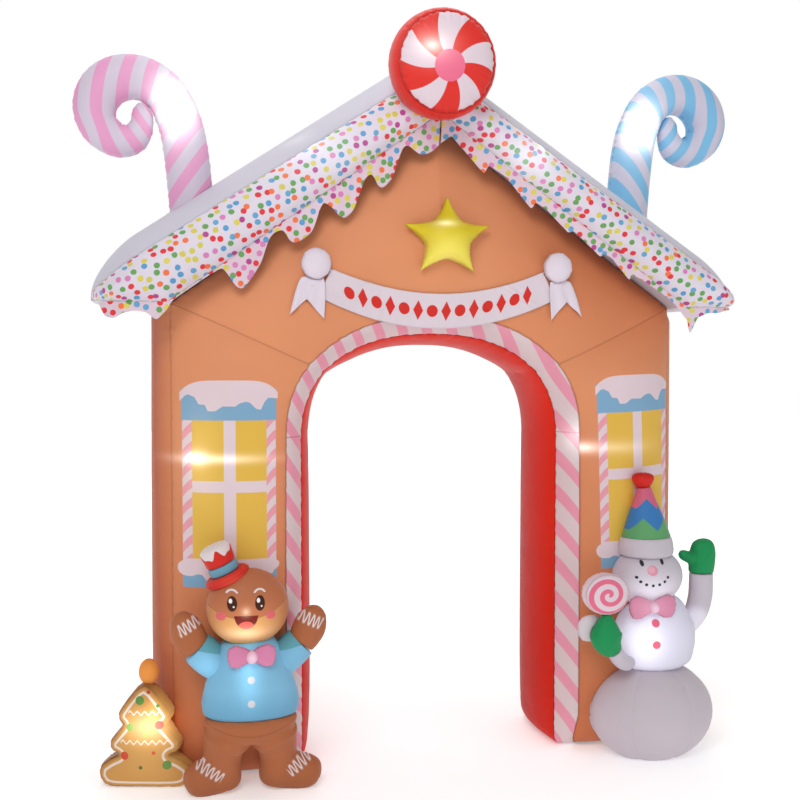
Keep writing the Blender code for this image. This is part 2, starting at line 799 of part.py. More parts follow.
MAN_X = -0.690
MAN_Y = -0.178
VEST_ROWS = (
    (0.226, 0.110, 0.060, 0.004, 0.0),
    (0.240, 0.152, 0.088, 0.004, 0.0),
    (0.276, 0.166, 0.100, 0.004, 0.0),
    (0.330, 0.167, 0.105, 0.003, 0.0),
    (0.390, 0.153, 0.104, 0.001, 0.0),
    (0.450, 0.132, 0.098, 0.000, 0.0),
    (0.502, 0.112, 0.086, -0.002, 0.0),
    (0.534, 0.090, 0.070, -0.003, 0.0),
    (0.548, 0.060, 0.046, -0.004, 0.0),
)
HIP_ROWS = (
    (0.150, 0.080, 0.050, 0.0, 0.024),
    (0.168, 0.130, 0.080, 0.0, 0.018),
    (0.205, 0.158, 0.092, 0.0, 0.000),
    (0.236, 0.146, 0.060, 0.0, -0.028),
    (0.256, 0.110, 0.040, 0.0, -0.030),
)
LEG_CENTRE = 0.092       # each leg's distance from the man's middle
LEG_ROWS_OF_MAN = (  # height, half width, how far behind the man's middle
    (0.016, 0.046, 0.053),
    (0.034, 0.0686, 0.050),
    (0.120, 0.071, 0.036),
    (0.215, 0.067, 0.010),
    (0.240, 0.040, 0.004),
)
FOOT_ROWS = (  # outward and forward of the leg's middle, height, half width, half depth
    (-0.044, 0.024, 0.048, 0.026, 0.026),
    (-0.030, 0.018, 0.050, 0.048, 0.046),
    (0.000, 0.004, 0.052, 0.062, 0.058),
    (0.038, -0.014, 0.052, 0.066, 0.058),
    (0.074, -0.030, 0.054, 0.062, 0.054),
    (0.102, -0.042, 0.056, 0.045, 0.041),
    (0.114, -0.048, 0.056, 0.022, 0.022),
)


def make_man_legs():
    """Hips, both legs and both feet: one filled body that stands flat on the floor."""
    biscuit = cloth("man_biscuit", DARK_BISCUIT)
    legs = upright("man_legs", MAN_X + 0.004, MAN_Y, HIP_ROWS, biscuit)
    others = []
    for word, side in (("left", -1), ("right", 1)):
        x = MAN_X + 0.004 + side * LEG_CENTRE
        rows = [(x, MAN_Y + back, z, half, half) for z, half, back in LEG_ROWS_OF_MAN]
        others.append(limb("leg_" + word, rows, None))
        rows = [(x + side * out, MAN_Y + LEG_ROWS_OF_MAN[0][2] + ahead, z, half, deep)
                for out, ahead, z, half, deep in FOOT_ROWS]
        foot = stand_flat(limb("foot_" + word, rows, None))
        others.append(foot)
    return fuse(legs, *others)


SLEEVE_ROWS = (  # outward, up, half width and half depth, from inside the vest to the cuff
    (0.060, 0.420, 0.050, 0.050),
    (0.098, 0.446, 0.064, 0.062),
    (0.150, 0.492, 0.062, 0.060),
    (0.176, 0.516, 0.058, 0.056),
)
HAND_ROWS = (
    (0.168, 0.510, 0.050, 0.050),
    (0.186, 0.530, 0.056, 0.052),
    (0.208, 0.566, 0.058, 0.050),
    (0.219, 0.604, 0.050, 0.044),
    (0.222, 0.628, 0.034, 0.032),
    (0.222, 0.640, 0.014, 0.014),
)


def make_man_arm(word, side, vest):
    rows = [(MAN_X + side * out, MAN_Y + 0.005, z, half, deep) for out, z, half, deep in SLEEVE_ROWS]
    sleeve = seat(limb("man_sleeve_" + word, rows, cloth("vest_blue", BLUE)), vest)
    rows = [(MAN_X + side * out, MAN_Y + 0.005, z, half, deep) for out, z, half, deep in HAND_ROWS]
    hand = limb("man_hand_" + word, rows, cloth("man_biscuit", DARK_BISCUIT))
    return sleeve, seat(hand, sleeve)


MAN_HEAD_Z = 0.652
MAN_HEAD_RADII = (0.141, 0.104, 0.132)
HAT_PLACE = (-0.763, -0.183, 0.757)
HAT_TILT = -24.0
BRIM_RADIUS = 0.080
CROWN_RADII = (0.047, 0.055)   # at the brim and at the top
CROWN_HEIGHT = 0.118
HAT_BAND_HEIGHT = 0.032


def make_top_hat(head, house):
    """A filled brim, the band and the crown, one above the other on the tilted head."""
    brim_profile = [(0.0, 0.015), (0.050, 0.016), (0.068, 0.016), (0.077, 0.009), (BRIM_RADIUS, 0.0),
                    (0.077, -0.009), (0.068, -0.016), (0.050, -0.018), (0.0, -0.018)]
    low, high = CROWN_RADII
    top = 0.016 + CROWN_HEIGHT
    band_top = 0.016 + GAP + HAT_BAND_HEIGHT
    band_profile = [(0.0, band_top), (low + 0.002, band_top), (low + 0.004, band_top - 0.004),
                    (low + 0.003, 0.020), (low, 0.016 + GAP), (0.0, 0.016 + GAP)]
    crown_profile = [(0.0, top + 0.004), (high * 0.6, top + 0.002), (high - 0.006, top - 0.004),
                     (high, top - 0.014), (low + 0.004, band_top + 0.006), (low, band_top + GAP),
                     (0.0, band_top + GAP)]
    red = cloth("hat_red", RED)
    parts = [turned("man_hat_brim", brim_profile, red, 16),
             turned("man_hat_band", band_profile, cloth("hat_teal", TEAL), 16),
             turned("man_hat_crown", crown_profile, red, 16)]
    for piece in parts:
        place(piece, *HAT_PLACE, turn=HAT_TILT)
    seat(parts[0], head, house)


def make_man(house):
    vest = upright("man_vest", MAN_X, MAN_Y, VEST_ROWS, cloth("vest_blue", BLUE))
    seat(vest, house)
    seat(make_man_legs(), house, vest)
    head = ball("man_head", (MAN_X - 0.006, MAN_Y - 0.010, MAN_HEAD_Z), MAN_HEAD_RADII,
                cloth("man_biscuit", DARK_BISCUIT), 18, 11)
    seat(head, vest, house)
    for word, side in (("left", -1), ("right", 1)):
        sleeve, hand = make_man_arm(word, side, vest)
        seat(sleeve, head, house)
        seat(hand, head, house)
    make_top_hat(head, house)
    make_bow("man", MAN_X, MAN_Y - 0.100, 0.500, vest)


# ---------------------------------------------------------------- snowman

SNOW_X = 0.832
SNOW_Y = -0.130
SNOW_BALL_RADII = (0.240, 0.185, 0.192)
SNOW_BALL_Z = 0.162
SNOW_TORSO_ROWS = (
    (0.318, 0.110, 0.080, 0.004, 0.0),
    (0.345, 0.142, 0.100, 0.004, 0.0),
    (0.400, 0.157, 0.110, 0.004, 0.0),
    (0.450, 0.160, 0.114, 0.004, 0.0),
    (0.500, 0.152, 0.110, 0.000, 0.0),
    (0.550, 0.128, 0.094, -0.002, 0.0),
    (0.582, 0.098, 0.074, -0.006, 0.0),
    (0.598, 0.060, 0.050, -0.010, 0.0),
)
SNOW_HEAD = (0.803, -0.135, 0.682)
SNOW_HEAD_RADII = (0.139, 0.108, 0.107)
CONE_ROWS = (  # height, radius, x: the cone leans a little to the left
    (0.832, 0.094, 0.797),
    (0.870, 0.080, 0.796),
    (0.930, 0.057, 0.793),
    (0.990, 0.034, 0.790),
    (1.014, 0.026, 0.788),
)
TUFT_ROWS = (
    (1.0144, 0.024, 0.786),
    (1.030, 0.036, 0.785),
    (1.048, 0.043, 0.784),
    (1.062, 0.038, 0.784),
    (1.070, 0.022, 0.784),
)
HAT_BAND_ROWS = (
    (0.752, 0.080, 0.798),
    (0.766, 0.102, 0.798),
    (0.794, 0.104, 0.797),
    (0.822, 0.099, 0.797),
    (0.8316, 0.092, 0.797),
)


def stacked(name, rows, y, material, sides=14):
    """A filled round stack: rows are height, radius and x."""
    return limb(name, [(x, y, z, radius, radius * 0.92) for z, radius, x in rows], material, sides)


RAISED_ARM_ROWS = (  # x, y, z, half width and half depth, from inside the torso to the wrist
    (0.940, -0.120, 0.455, 0.030, 0.030),
    (0.972, -0.120, 0.478, 0.040, 0.038),
    (1.012, -0.120, 0.524, 0.044, 0.042),
    (1.032, -0.120, 0.590, 0.046, 0.043),
    (1.034, -0.120, 0.676, 0.046, 0.042),
)
RAISED_MITTEN_ROWS = (
    (1.034, -0.120, 0.6764, 0.050, 0.038),
    (1.036, -0.120, 0.710, 0.053, 0.040),
    (1.040, -0.120, 0.760, 0.052, 0.038),
    (1.042, -0.120, 0.795, 0.040, 0.030),
    (1.042, -0.120, 0.810, 0.016, 0.014),
)
THUMB_ROWS = (
    (1.010, -0.120, 0.724, 0.024, 0.024),
    (0.980, -0.120, 0.740, 0.024, 0.023),
    (0.952, -0.120, 0.752, 0.019, 0.018),
    (0.940, -0.120, 0.756, 0.008, 0.008),
)
LOLLY_ARM_ROWS = (
    (0.720, -0.185, 0.372, 0.028, 0.028),
    (0.690, -0.205, 0.374, 0.034, 0.034),
    (0.662, -0.222, 0.398, 0.036, 0.034),
    (0.646, -0.230, 0.428, 0.034, 0.032),
)
LOLLY_MITTEN_ROWS = (
    (0.646, -0.230, 0.4284, 0.034, 0.032),
    (0.634, -0.232, 0.456, 0.054, 0.040),
    (0.622, -0.234, 0.492, 0.058, 0.042),
    (0.614, -0.236, 0.528, 0.042, 0.034),
    (0.610, -0.236, 0.560, 0.020, 0.018),
    (0.609, -0.236, 0.572, 0.007, 0.007),
)
LOLLIPOP_PLACE = (0.600, -0.236, 0.640)
LOLLIPOP_RADII = (0.082, 0.073)
LOLLIPOP_GUSSET = 0.040
LOLLIPOP_FACE = 0.018
WRAP_ROWS = (
    (0.600, -0.200, 0.500, 0.020, 0.010),
    (0.566, -0.200, 0.520, 0.034, 0.014),
    (0.536, -0.200, 0.512, 0.036, 0.014),
    (0.518, -0.200, 0.490, 0.018, 0.008),
)


def circle(radii, steps):
    return [(radii[0] * cos(a), radii[1] * sin(a)) for a in np.arange(steps) * 2 * pi / steps]


def make_lollipop(mitten, wrap_carriers):
    """A round lollipop with a rim wall, and the flared end of its wrapper."""
    sweet = pillow("lollipop", circle(LOLLIPOP_RADII, 18), LOLLIPOP_FACE, cloth("lollipop", WHITE),
                   rings=3, gusset=LOLLIPOP_GUSSET)
    place(sweet, *LOLLIPOP_PLACE)
    seat(sweet, mitten)
    wrap = limb("lollipop_wrap", WRAP_ROWS, cloth("wrapper", WHITE))
    seat(wrap, mitten, *wrap_carriers)
    return sweet


def make_snowman(house):
    white = cloth("snow_white", WHITE)
    green = cloth("mitten_green", GREEN)
    base = ball("snow_ball", (SNOW_X, SNOW_Y + 0.015, SNOW_BALL_Z), SNOW_BALL_RADII, white, 20, 12)
    seat(stand_flat(base), house)
    torso = seat(upright("snow_torso", SNOW_X, SNOW_Y, SNOW_TORSO_ROWS, white), base, house)
    head = seat(ball("snow_head", SNOW_HEAD, SNOW_HEAD_RADII, white, 18, 11), torso, house)
    head_y = SNOW_HEAD[1]
    band = seat(stacked("snow_hat_band", HAT_BAND_ROWS, head_y, white), head, house)
    seat(stacked("snow_hat_cone", CONE_ROWS, head_y, cloth("cone", GREEN)), band, house)
    seat(stacked("snow_hat_tuft", TUFT_ROWS, head_y, cloth("hat_red", RED), 10), house)
    arm = seat(limb("snow_arm_right", RAISED_ARM_ROWS, white), torso, house)
    mitten = limb("snow_mitten_right", RAISED_MITTEN_ROWS, green)
    thumb = limb("thumb", THUMB_ROWS, None, 8)
    seat(fuse(mitten, thumb), arm)
    arm = seat(limb("snow_arm_left", LOLLY_ARM_ROWS, white), torso, base)
    mitten = limb("snow_mitten_left", LOLLY_MITTEN_ROWS, green)
    seat(mitten, arm, torso)
    sweet = make_lollipop(mitten, (arm,))
    seat(sweet, head)
    make_bow("snow", SNOW_X - 0.062, SNOW_Y - 0.098, 0.588, torso, head)


# ---------------------------------------------------------------- tree

TREE_PLACE = (-1.036, -0.014)
TREE_YAW = -14.0
TREE_OUTLINE = (  # x and z of the right half, from the top down to the foot
    (0.000, 0.362),
    (0.030, 0.345),
    (0.066, 0.300),
    (0.092, 0.262),
    (0.090, 0.238),
    (0.070, 0.224),
    (0.094, 0.196),
    (0.124, 0.160),
    (0.118, 0.130),
    (0.084, 0.118),
    (0.122, 0.100),
    (0.158, 0.074),
    (0.162, 0.040),
    (0.146, 0.012),
    (0.116, 0.000),
    (0.000, 0.000),
)
TREE_HEART = (0.0, 0.150)
TREE_FACE = 0.030
TREE_GUSSET = 0.066
TREE_BALL = (0.036, 0.034, 0.046)


def make_tree(house):
    """A biscuit tree of three tiers: two faces and a rim wall, with a filled bobble on top."""
    left = [(-x, z) for x, z in TREE_OUTLINE[-2:0:-1]]
    tree = pillow("tree", list(TREE_OUTLINE) + left, TREE_FACE, cloth("tree_gold", GOLD),
                  centre=TREE_HEART, rings=4, gusset=TREE_GUSSET)
    place(tree, TREE_PLACE[0], TREE_PLACE[1], 0.0, yaw=TREE_YAW)
    seat(tree, house)
    bobble = ball("tree_ball", (TREE_PLACE[0] + 0.008, TREE_PLACE[1], 0.398), TREE_BALL,
                  cloth("ball_orange", ORANGE), 12, 8)
    seat(bobble, tree)


# ---------------------------------------------------------------- whole arch

def build():
    clear_scene()
    origin = bpy.data.objects.new("arch_origin", None)
    collection(PARTS).objects.link(origin)
    origin.location = FRAME_SHIFT
    house = make_house()
    lining, band = make_doorway_panels()
    probe = surface_probe(house, lining, band)
    roofs = {}
    for word, side, drips in (("left", -1, LEFT_DRIPS), ("right", 1, RIGHT_DRIPS)):
        roofs[word] = make_roof_slab("roof_" + word, side)
        make_flap("drip_" + word, side, drips, probe)
    make_sweet(roofs["left"], roofs["right"])
    make_cane("cane_pink", (-0.866, 2.082), -1, cloth("cane_pink", PINK), roofs["left"])
    make_cane("cane_blue", (0.840, 2.128), 1, cloth("cane_blue", BLUE), roofs["right"])
    make_star(house, probe)
    make_banner(house, probe)
    make_man(house)
    make_snowman(house)
    make_tree(house)


build()
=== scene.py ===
# %% [markdown]
# # An inflatable gingerbread-house archway
# The real thing is sewn from thin woven polyester and kept tight by air, with small lamps inside
# that burn through the cloth as soft white spots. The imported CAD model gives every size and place;
# this file dresses it. Each piece is a surface worked out with numpy, a little wavy along its
# seams, and each finish is a few lines of shader arithmetic.

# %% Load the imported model
from math import cos, pi, radians, sin

import bmesh
import bpy
import numpy as np
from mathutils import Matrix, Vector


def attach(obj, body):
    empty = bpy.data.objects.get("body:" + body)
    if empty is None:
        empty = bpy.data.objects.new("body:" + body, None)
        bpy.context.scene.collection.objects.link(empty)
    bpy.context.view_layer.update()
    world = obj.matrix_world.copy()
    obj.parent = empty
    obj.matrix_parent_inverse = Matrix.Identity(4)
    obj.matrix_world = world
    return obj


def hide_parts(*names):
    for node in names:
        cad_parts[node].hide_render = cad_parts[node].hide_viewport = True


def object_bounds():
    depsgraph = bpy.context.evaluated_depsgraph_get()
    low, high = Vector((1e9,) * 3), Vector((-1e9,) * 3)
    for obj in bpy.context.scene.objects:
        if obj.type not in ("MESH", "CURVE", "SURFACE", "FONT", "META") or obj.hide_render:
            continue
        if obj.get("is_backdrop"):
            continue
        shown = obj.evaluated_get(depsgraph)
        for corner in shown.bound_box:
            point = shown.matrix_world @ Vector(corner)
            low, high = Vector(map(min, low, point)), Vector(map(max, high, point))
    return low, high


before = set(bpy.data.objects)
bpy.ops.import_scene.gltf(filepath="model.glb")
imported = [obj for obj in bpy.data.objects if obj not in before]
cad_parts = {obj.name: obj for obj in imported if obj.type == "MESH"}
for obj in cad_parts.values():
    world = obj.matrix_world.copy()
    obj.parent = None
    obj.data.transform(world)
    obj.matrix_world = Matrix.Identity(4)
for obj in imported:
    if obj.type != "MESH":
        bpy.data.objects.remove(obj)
cad_box = [list(corner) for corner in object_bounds()]
HOME = np.array((0.016, -0.085, 0.0))   # from the shapes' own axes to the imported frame
SIDES = (("left", -1), ("right", 1))   # the photo's, along X
print("CAD box", cad_box)

# %% [markdown]
# ## Camera, light and floor
# The camera comes first, because everything is judged through it. It stands a little to the left
# of the arch at eye height. A near-white floor and world with two big soft lamps copy a studio.

# %% Camera
CAMERA_PLACE = (-0.959, -3.925, 1.510)
CAMERA_TURN = (90.0 - 2.4, 0.0, -12.55)   # degrees
IMAGE_SIDE = 800                          # pixels
FOCAL_PIXELS = 1070

camera_data = bpy.data.cameras.new("camera")
camera_data.sensor_width = 36.0
camera_data.lens = FOCAL_PIXELS / IMAGE_SIDE * 36.0
camera = bpy.data.objects.new("camera", camera_data)
camera.location = CAMERA_PLACE
camera.rotation_euler = [radians(angle) for angle in CAMERA_TURN]
bpy.context.scene.collection.objects.link(camera)
bpy.context.scene.camera = camera


# %% Lamps and world
def softbox(name, place, aim, size, power):
    """A square white lamp at a place, turned to face a point."""
    data = bpy.data.lights.new(name, "AREA")
    data.size, data.energy = size, power
    lamp = bpy.data.objects.new(name, data)
    away = np.asarray(place, float) - np.asarray(aim, float)
    flat = float(np.hypot(away[0], away[1]))
    lamp.location = place
    lamp.rotation_euler = (float(np.arctan2(flat, away[2])), 0.0,
                           float(np.arctan2(away[0], -away[1])))
    bpy.context.scene.collection.objects.link(lamp)


softbox("key", (-1.9, -4.4, 4.6), (0.0, 0.0, 1.9), 2.4, 120)
softbox("fill", (3.8, -4.6, 2.2), (0.0, 0.0, 1.1), 3.0, 24)
softbox("top", (0.0, 0.4, 5.6), (0.0, 0.0, 1.5), 3.5, 60)

world = bpy.data.worlds.new("studio")
world.use_nodes = True
world.node_tree.nodes["Background"].inputs["Color"].default_value = (1.0, 1.0, 1.0, 1.0)
world_links = world.node_tree.links
direction = world.node_tree.nodes.new("ShaderNodeTexCoord")
parts = world.node_tree.nodes.new("ShaderNodeSeparateXYZ")
backdrop = world.node_tree.nodes.new("ShaderNodeMapRange")
for socket, value in (("From Min", 0.10), ("From Max", 0.70), ("To Min", 0.34), ("To Max", 1.0)):
    backdrop.inputs[socket].default_value = value
world_links.new(direction.outputs["Generated"], parts.inputs[0])
world_links.new(parts.outputs["Y"], backdrop.inputs["Value"])
world_links.new(backdrop.outputs[0], world.node_tree.nodes["Background"].inputs["Strength"])
bpy.context.scene.world = world
bpy.context.scene.view_settings.view_transform = "Standard"


# %% [markdown]
# ## Shader arithmetic
# A printed pattern is mostly arithmetic on a point's place, so a small class wraps a node's output
# and lets Python's own operators add the Math nodes. One method of the finish makes every other
# node. Masks run from 0 to 1 over about a millimetre, like the soft edge of a real print.

# %% Values that flow between nodes
def operator(kind, swapped=False):
    """A method that adds one Math node of a kind, with one or two values."""
    def method(*values):
        return values[0].math(kind, *(values[::-1] if swapped else values))
    return method


class Wire:
    """One output of a node. Each operator on it adds one Math node. part is what is left after
    the whole number, and angle is that of a place this far up and the other value to the right."""

    def __init__(self, finish, socket):
        self.finish, self.socket = finish, socket

    def math(self, operation, *values):
        inputs = list(enumerate(values))
        return self.finish.node("ShaderNodeMath", {"operation": operation}, inputs)

    __add__ = __radd__ = operator("ADD")
    __mul__ = __rmul__ = operator("MULTIPLY")
    __sub__, __rsub__ = operator("SUBTRACT"), operator("SUBTRACT", swapped=True)
    __truediv__, __pow__, __abs__ = operator("DIVIDE"), operator("POWER"), operator("ABSOLUTE")
    low, high, angle = operator("MINIMUM"), operator("MAXIMUM"), operator("ARCTAN2")
    part, sine, exponent = operator("FRACT"), operator("SINE"), operator("EXPONENT")

    def rise(self, start, end):
        """0 below start, 1 above end, a straight slope between; start may be above end."""
        inputs = [("Value", self), ("From Min", start), ("From Max", end)]
        return self.finish.node("ShaderNodeMapRange", {"clamp": True}, inputs)

    def inside(self, soft=0.0008):
        """1 where the value is above 0, with an edge twice the softness wide."""
        return self.rise(-soft, soft)


# %% One finish
SHADE = 0.93   # cloth is this much darker than a colour read under the studio's light
DULL = 0.15    # specular level of dry polyester
WEAVE_WAVE, STITCH_STEP = 0.0022, 0.009   # metres
BLACK = (0.0, 0.0, 0.0, 1.0)


def tint(red, green, blue):
    """The linear colour of an 8-bit display colour."""
    share = np.array((red, green, blue)) / 255.0
    linear = np.where(share <= 0.04045, share / 12.92, ((share + 0.055) / 1.055) ** 2.4)
    return (*[float(value) for value in linear], 1.0)


class Finish:
    """A cloth's material: its nodes, and the base colour, glow and bump that are built up on it.
    Print colours are 8-bit display colours, and light is given in linear shares."""

    def __init__(self, name, colour, roughness=0.52, sheen=0.04):
        self.material = bpy.data.materials.new(name)
        self.material.use_nodes = True
        self.tree = self.material.node_tree
        self.shader = self.tree.nodes["Principled BSDF"]
        self.shader.inputs["Roughness"].default_value = roughness
        self.shader.inputs["Sheen Weight"].default_value = sheen
        self.shader.inputs["Specular IOR Level"].default_value = DULL
        self.colour = tint(*colour)
        self.glow = self.through = None
        coordinates = self.node("ShaderNodeTexCoord", {}, [], "Object")
        shift = [("Vector", coordinates), ("Location", tuple(-HOME))]
        self.place = self.node("ShaderNodeMapping", {}, shift)
        self.x, self.y, self.z = self.axes(self.place)

    def node(self, kind, settings, inputs, output=0):
        """Any node: its settings first, then its inputs."""
        made = self.tree.nodes.new(kind)
        for key, value in settings.items():
            setattr(made, key, value)
        for key, value in inputs:
            if isinstance(value, Wire):
                self.tree.links.new(value.socket, made.inputs[key])
            else:
                made.inputs[key].default_value = value
        return Wire(self, made.outputs[output])

    def ramp(self, value, stops, interpolation="LINEAR"):
        """A colour ramp over a value. A stop is a place from 0 to 1 and a colour."""
        made = self.node("ShaderNodeValToRGB", {}, [("Fac", value)])
        ramp = made.socket.node.color_ramp
        ramp.interpolation = interpolation
        while len(ramp.elements) < len(stops):
            ramp.elements.new(1.0)
        for element, (place, colour) in zip(ramp.elements, stops):
            element.position, element.color = place, colour
        return made

    def axes(self, vector):
        return [self.node("ShaderNodeSeparateXYZ", {}, [(0, vector)], axis) for axis in "XYZ"]

    def joined(self, x, y, z):
        return self.node("ShaderNodeCombineXYZ", {}, [(0, x), (1, y), (2, z)])

    def field(self, name):
        """A number that the mesh carries at each point."""
        return self.node("ShaderNodeAttribute", {"attribute_name": name}, [], "Fac")

    def sewn(self):
        """The piece's own map: metres across and along its cloth."""
        across, along, _ = self.axes(self.node("ShaderNodeUVMap", {"uv_map": "cloth"}, []))
        return across, along

    def blend(self, first, second, mask):
        inputs = [(0, mask), (6, first), (7, second)]
        return self.node("ShaderNodeMix", {"data_type": "RGBA"}, inputs, 2)

    def print_or_painted_light(self, colour, mask):
        """Print a colour, or what a wire carries, over what is there: a print, or painted shade or
        light.
        """
        colour = colour if isinstance(colour, Wire) else tint(*colour)
        self.colour = self.blend(self.colour, colour, mask)

    def curve(self, value, points):
        """The height of a line through points at a value, from one colour ramp."""
        points = np.asarray(points, float)
        low, high = points.min(0), points.max(0)
        share = (points - low) / (high - low)
        stops = [(float(a), (float(b), float(b), float(b), 1.0)) for a, b in share]
        ramp = self.ramp(value.rise(float(low[0]), float(high[0])), stops)
        grey = self.node("ShaderNodeSeparateColor", {}, [(0, ramp)])
        return grey * float(high[1] - low[1]) + float(low[1])

    def turned(self, x, z, tilt):
        """Metres along and up from a place on the front, on axes turned by tilt degrees."""
        dx, dz, tilt = self.x - x, self.z - z, radians(tilt)
        return dx * cos(tilt) + dz * sin(tilt), dz * cos(tilt) - dx * sin(tilt)

    def noise(self, scale, detail=2.0):
        inputs = [("Vector", self.place), ("Scale", scale), ("Detail", detail)]
        return self.node("ShaderNodeTexNoise", {}, inputs)

    def lamp(self, place, reach, colour, squash, power, peak, dyed=0.0):
        """Light through the cloth: colour times peak·e^-(distance/reach)^power round a place. Dyed
        light takes the print's own colour, times that number, and the rest is white hot."""
        offset = [(axis - float(at)) * float(1.0 / wide)
                  for axis, at, wide in zip((self.x, self.y, self.z), place, squash)]
        square = offset[0] * offset[0] + offset[1] * offset[1] + offset[2] * offset[2]
        fall = (square * (1.0 / reach ** 2)) ** (power / 2.0) * -1.0
        mask = (fall.exponent() * peak).low(1.0)
        colour = (*[value * (dyed or 1.0) for value in colour], 1.0)
        light = self.blend(BLACK, colour, mask)
        if dyed:
            self.through = self.plus(self.through, light)
        else:
            self.glow = self.plus(self.glow, light)

    def plus(self, first, second, kind="ADD"):
        """Two colours added, or multiplied."""
        if first is None or second is None:
            return first or second
        settings = {"data_type": "RGBA", "blend_type": kind}
        return self.node("ShaderNodeMix", settings, [(0, 1.0), (6, first), (7, second)], 2)

    def done(self, bump=1.0, strength=0.9, seams=1.0):
        """Add the weave, the soft unevenness and the stitches, and join up the shader. strength
        is the light's. seams is how dark the seam lines are, and below 0 they are light."""
        fine = 2 * pi / WEAVE_WAVE
        weave = ((self.x + self.y * 0.7) * fine).sine() * ((self.z + self.y * 0.7) * fine).sine()
        relief = weave * 0.00006 + self.noise(9.0, 3.0) * 0.0030 * bump
        shade = self.noise(3.1, 4.0).rise(0.30, 0.70) * 0.07 + SHADE
        if seams:
            across = self.field("seam")
            along = self.sewn()[1]
            line = across.rise(0.0032, 0.0012)
            stitch = across.rise(0.0062, 0.0052) * across.rise(0.0040, 0.0048)
            stitch = stitch * ((along * (2 * pi / STITCH_STEP)).sine() + 0.25).inside(0.2)
            relief = relief - line * 0.0012 + stitch * 0.0003
            shade = shade - line * (0.20 * seams) - stitch * (0.08 * seams)
        grey = self.joined(shade, shade, shade)
        self.link(self.plus(self.colour, grey, "MULTIPLY"), "Base Color")
        lumps = [("Height", relief), ("Strength", 0.8), ("Distance", 1.0)]
        self.link(self.node("ShaderNodeBump", {}, lumps), "Normal")
        gloss = self.noise(16.0) * 0.16 + (self.shader.inputs["Roughness"].default_value - 0.08)
        self.link(gloss, "Roughness")
        if self.through is not None:
            self.glow = self.plus(self.glow, self.plus(self.through, self.colour, "MULTIPLY"))
        if self.glow is not None:
            self.link(self.glow, "Emission Color")
            self.shader.inputs["Emission Strength"].default_value = strength
        return self.material

    def link(self, wire, socket):
        self.tree.links.new(wire.socket, self.shader.inputs[socket])


# %% Floor
floor_finish = Finish("floor_white", (255, 255, 255), 0.7, 0.0)
floor_finish.print_or_painted_light((252, 252, 253), floor_finish.noise(2.0, 3.0).rise(0.35, 0.65))
floor_finish.link(floor_finish.colour, "Base Color")
far_white = floor_finish.y.rise(0.6, 5.0) * 0.50 + 0.31   # brighter towards the horizon
floor_finish.link(floor_finish.joined(far_white, far_white, far_white), "Emission Color")
floor_finish.shader.inputs["Emission Strength"].default_value = 1.0
floor_mesh = bpy.data.meshes.new("floor")
floor_mesh.from_pydata([(-14, -10, 0), (14, -10, 0), (14, 18, 0), (-14, 18, 0)], [], [(0, 1, 2, 3)])
floor_mesh.materials.append(floor_finish.material)
floor = bpy.data.objects.new("floor", floor_mesh)
bpy.context.scene.collection.objects.link(floor)
floor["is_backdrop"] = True


# %% [markdown]
# ## From numbers to cloth
# Every piece is a grid of points: rows along it, columns round or across it. One function turns a
# grid into a closed or open mesh with its own map in metres and its distance from the nearest
# seam. A second one pulls the cloth in beside a seam, unevenly, as thread gathers a real panel.

# %% Grid to mesh
def steps_of(points, axis):
    """How far each point lies along its row or column, from 0."""
    lengths = np.linalg.norm(np.diff(points, axis=axis), axis=2)
    start = np.zeros_like(np.take(lengths, [0], axis=axis))
    return np.concatenate((start, np.cumsum(lengths, axis=axis)), axis=axis)


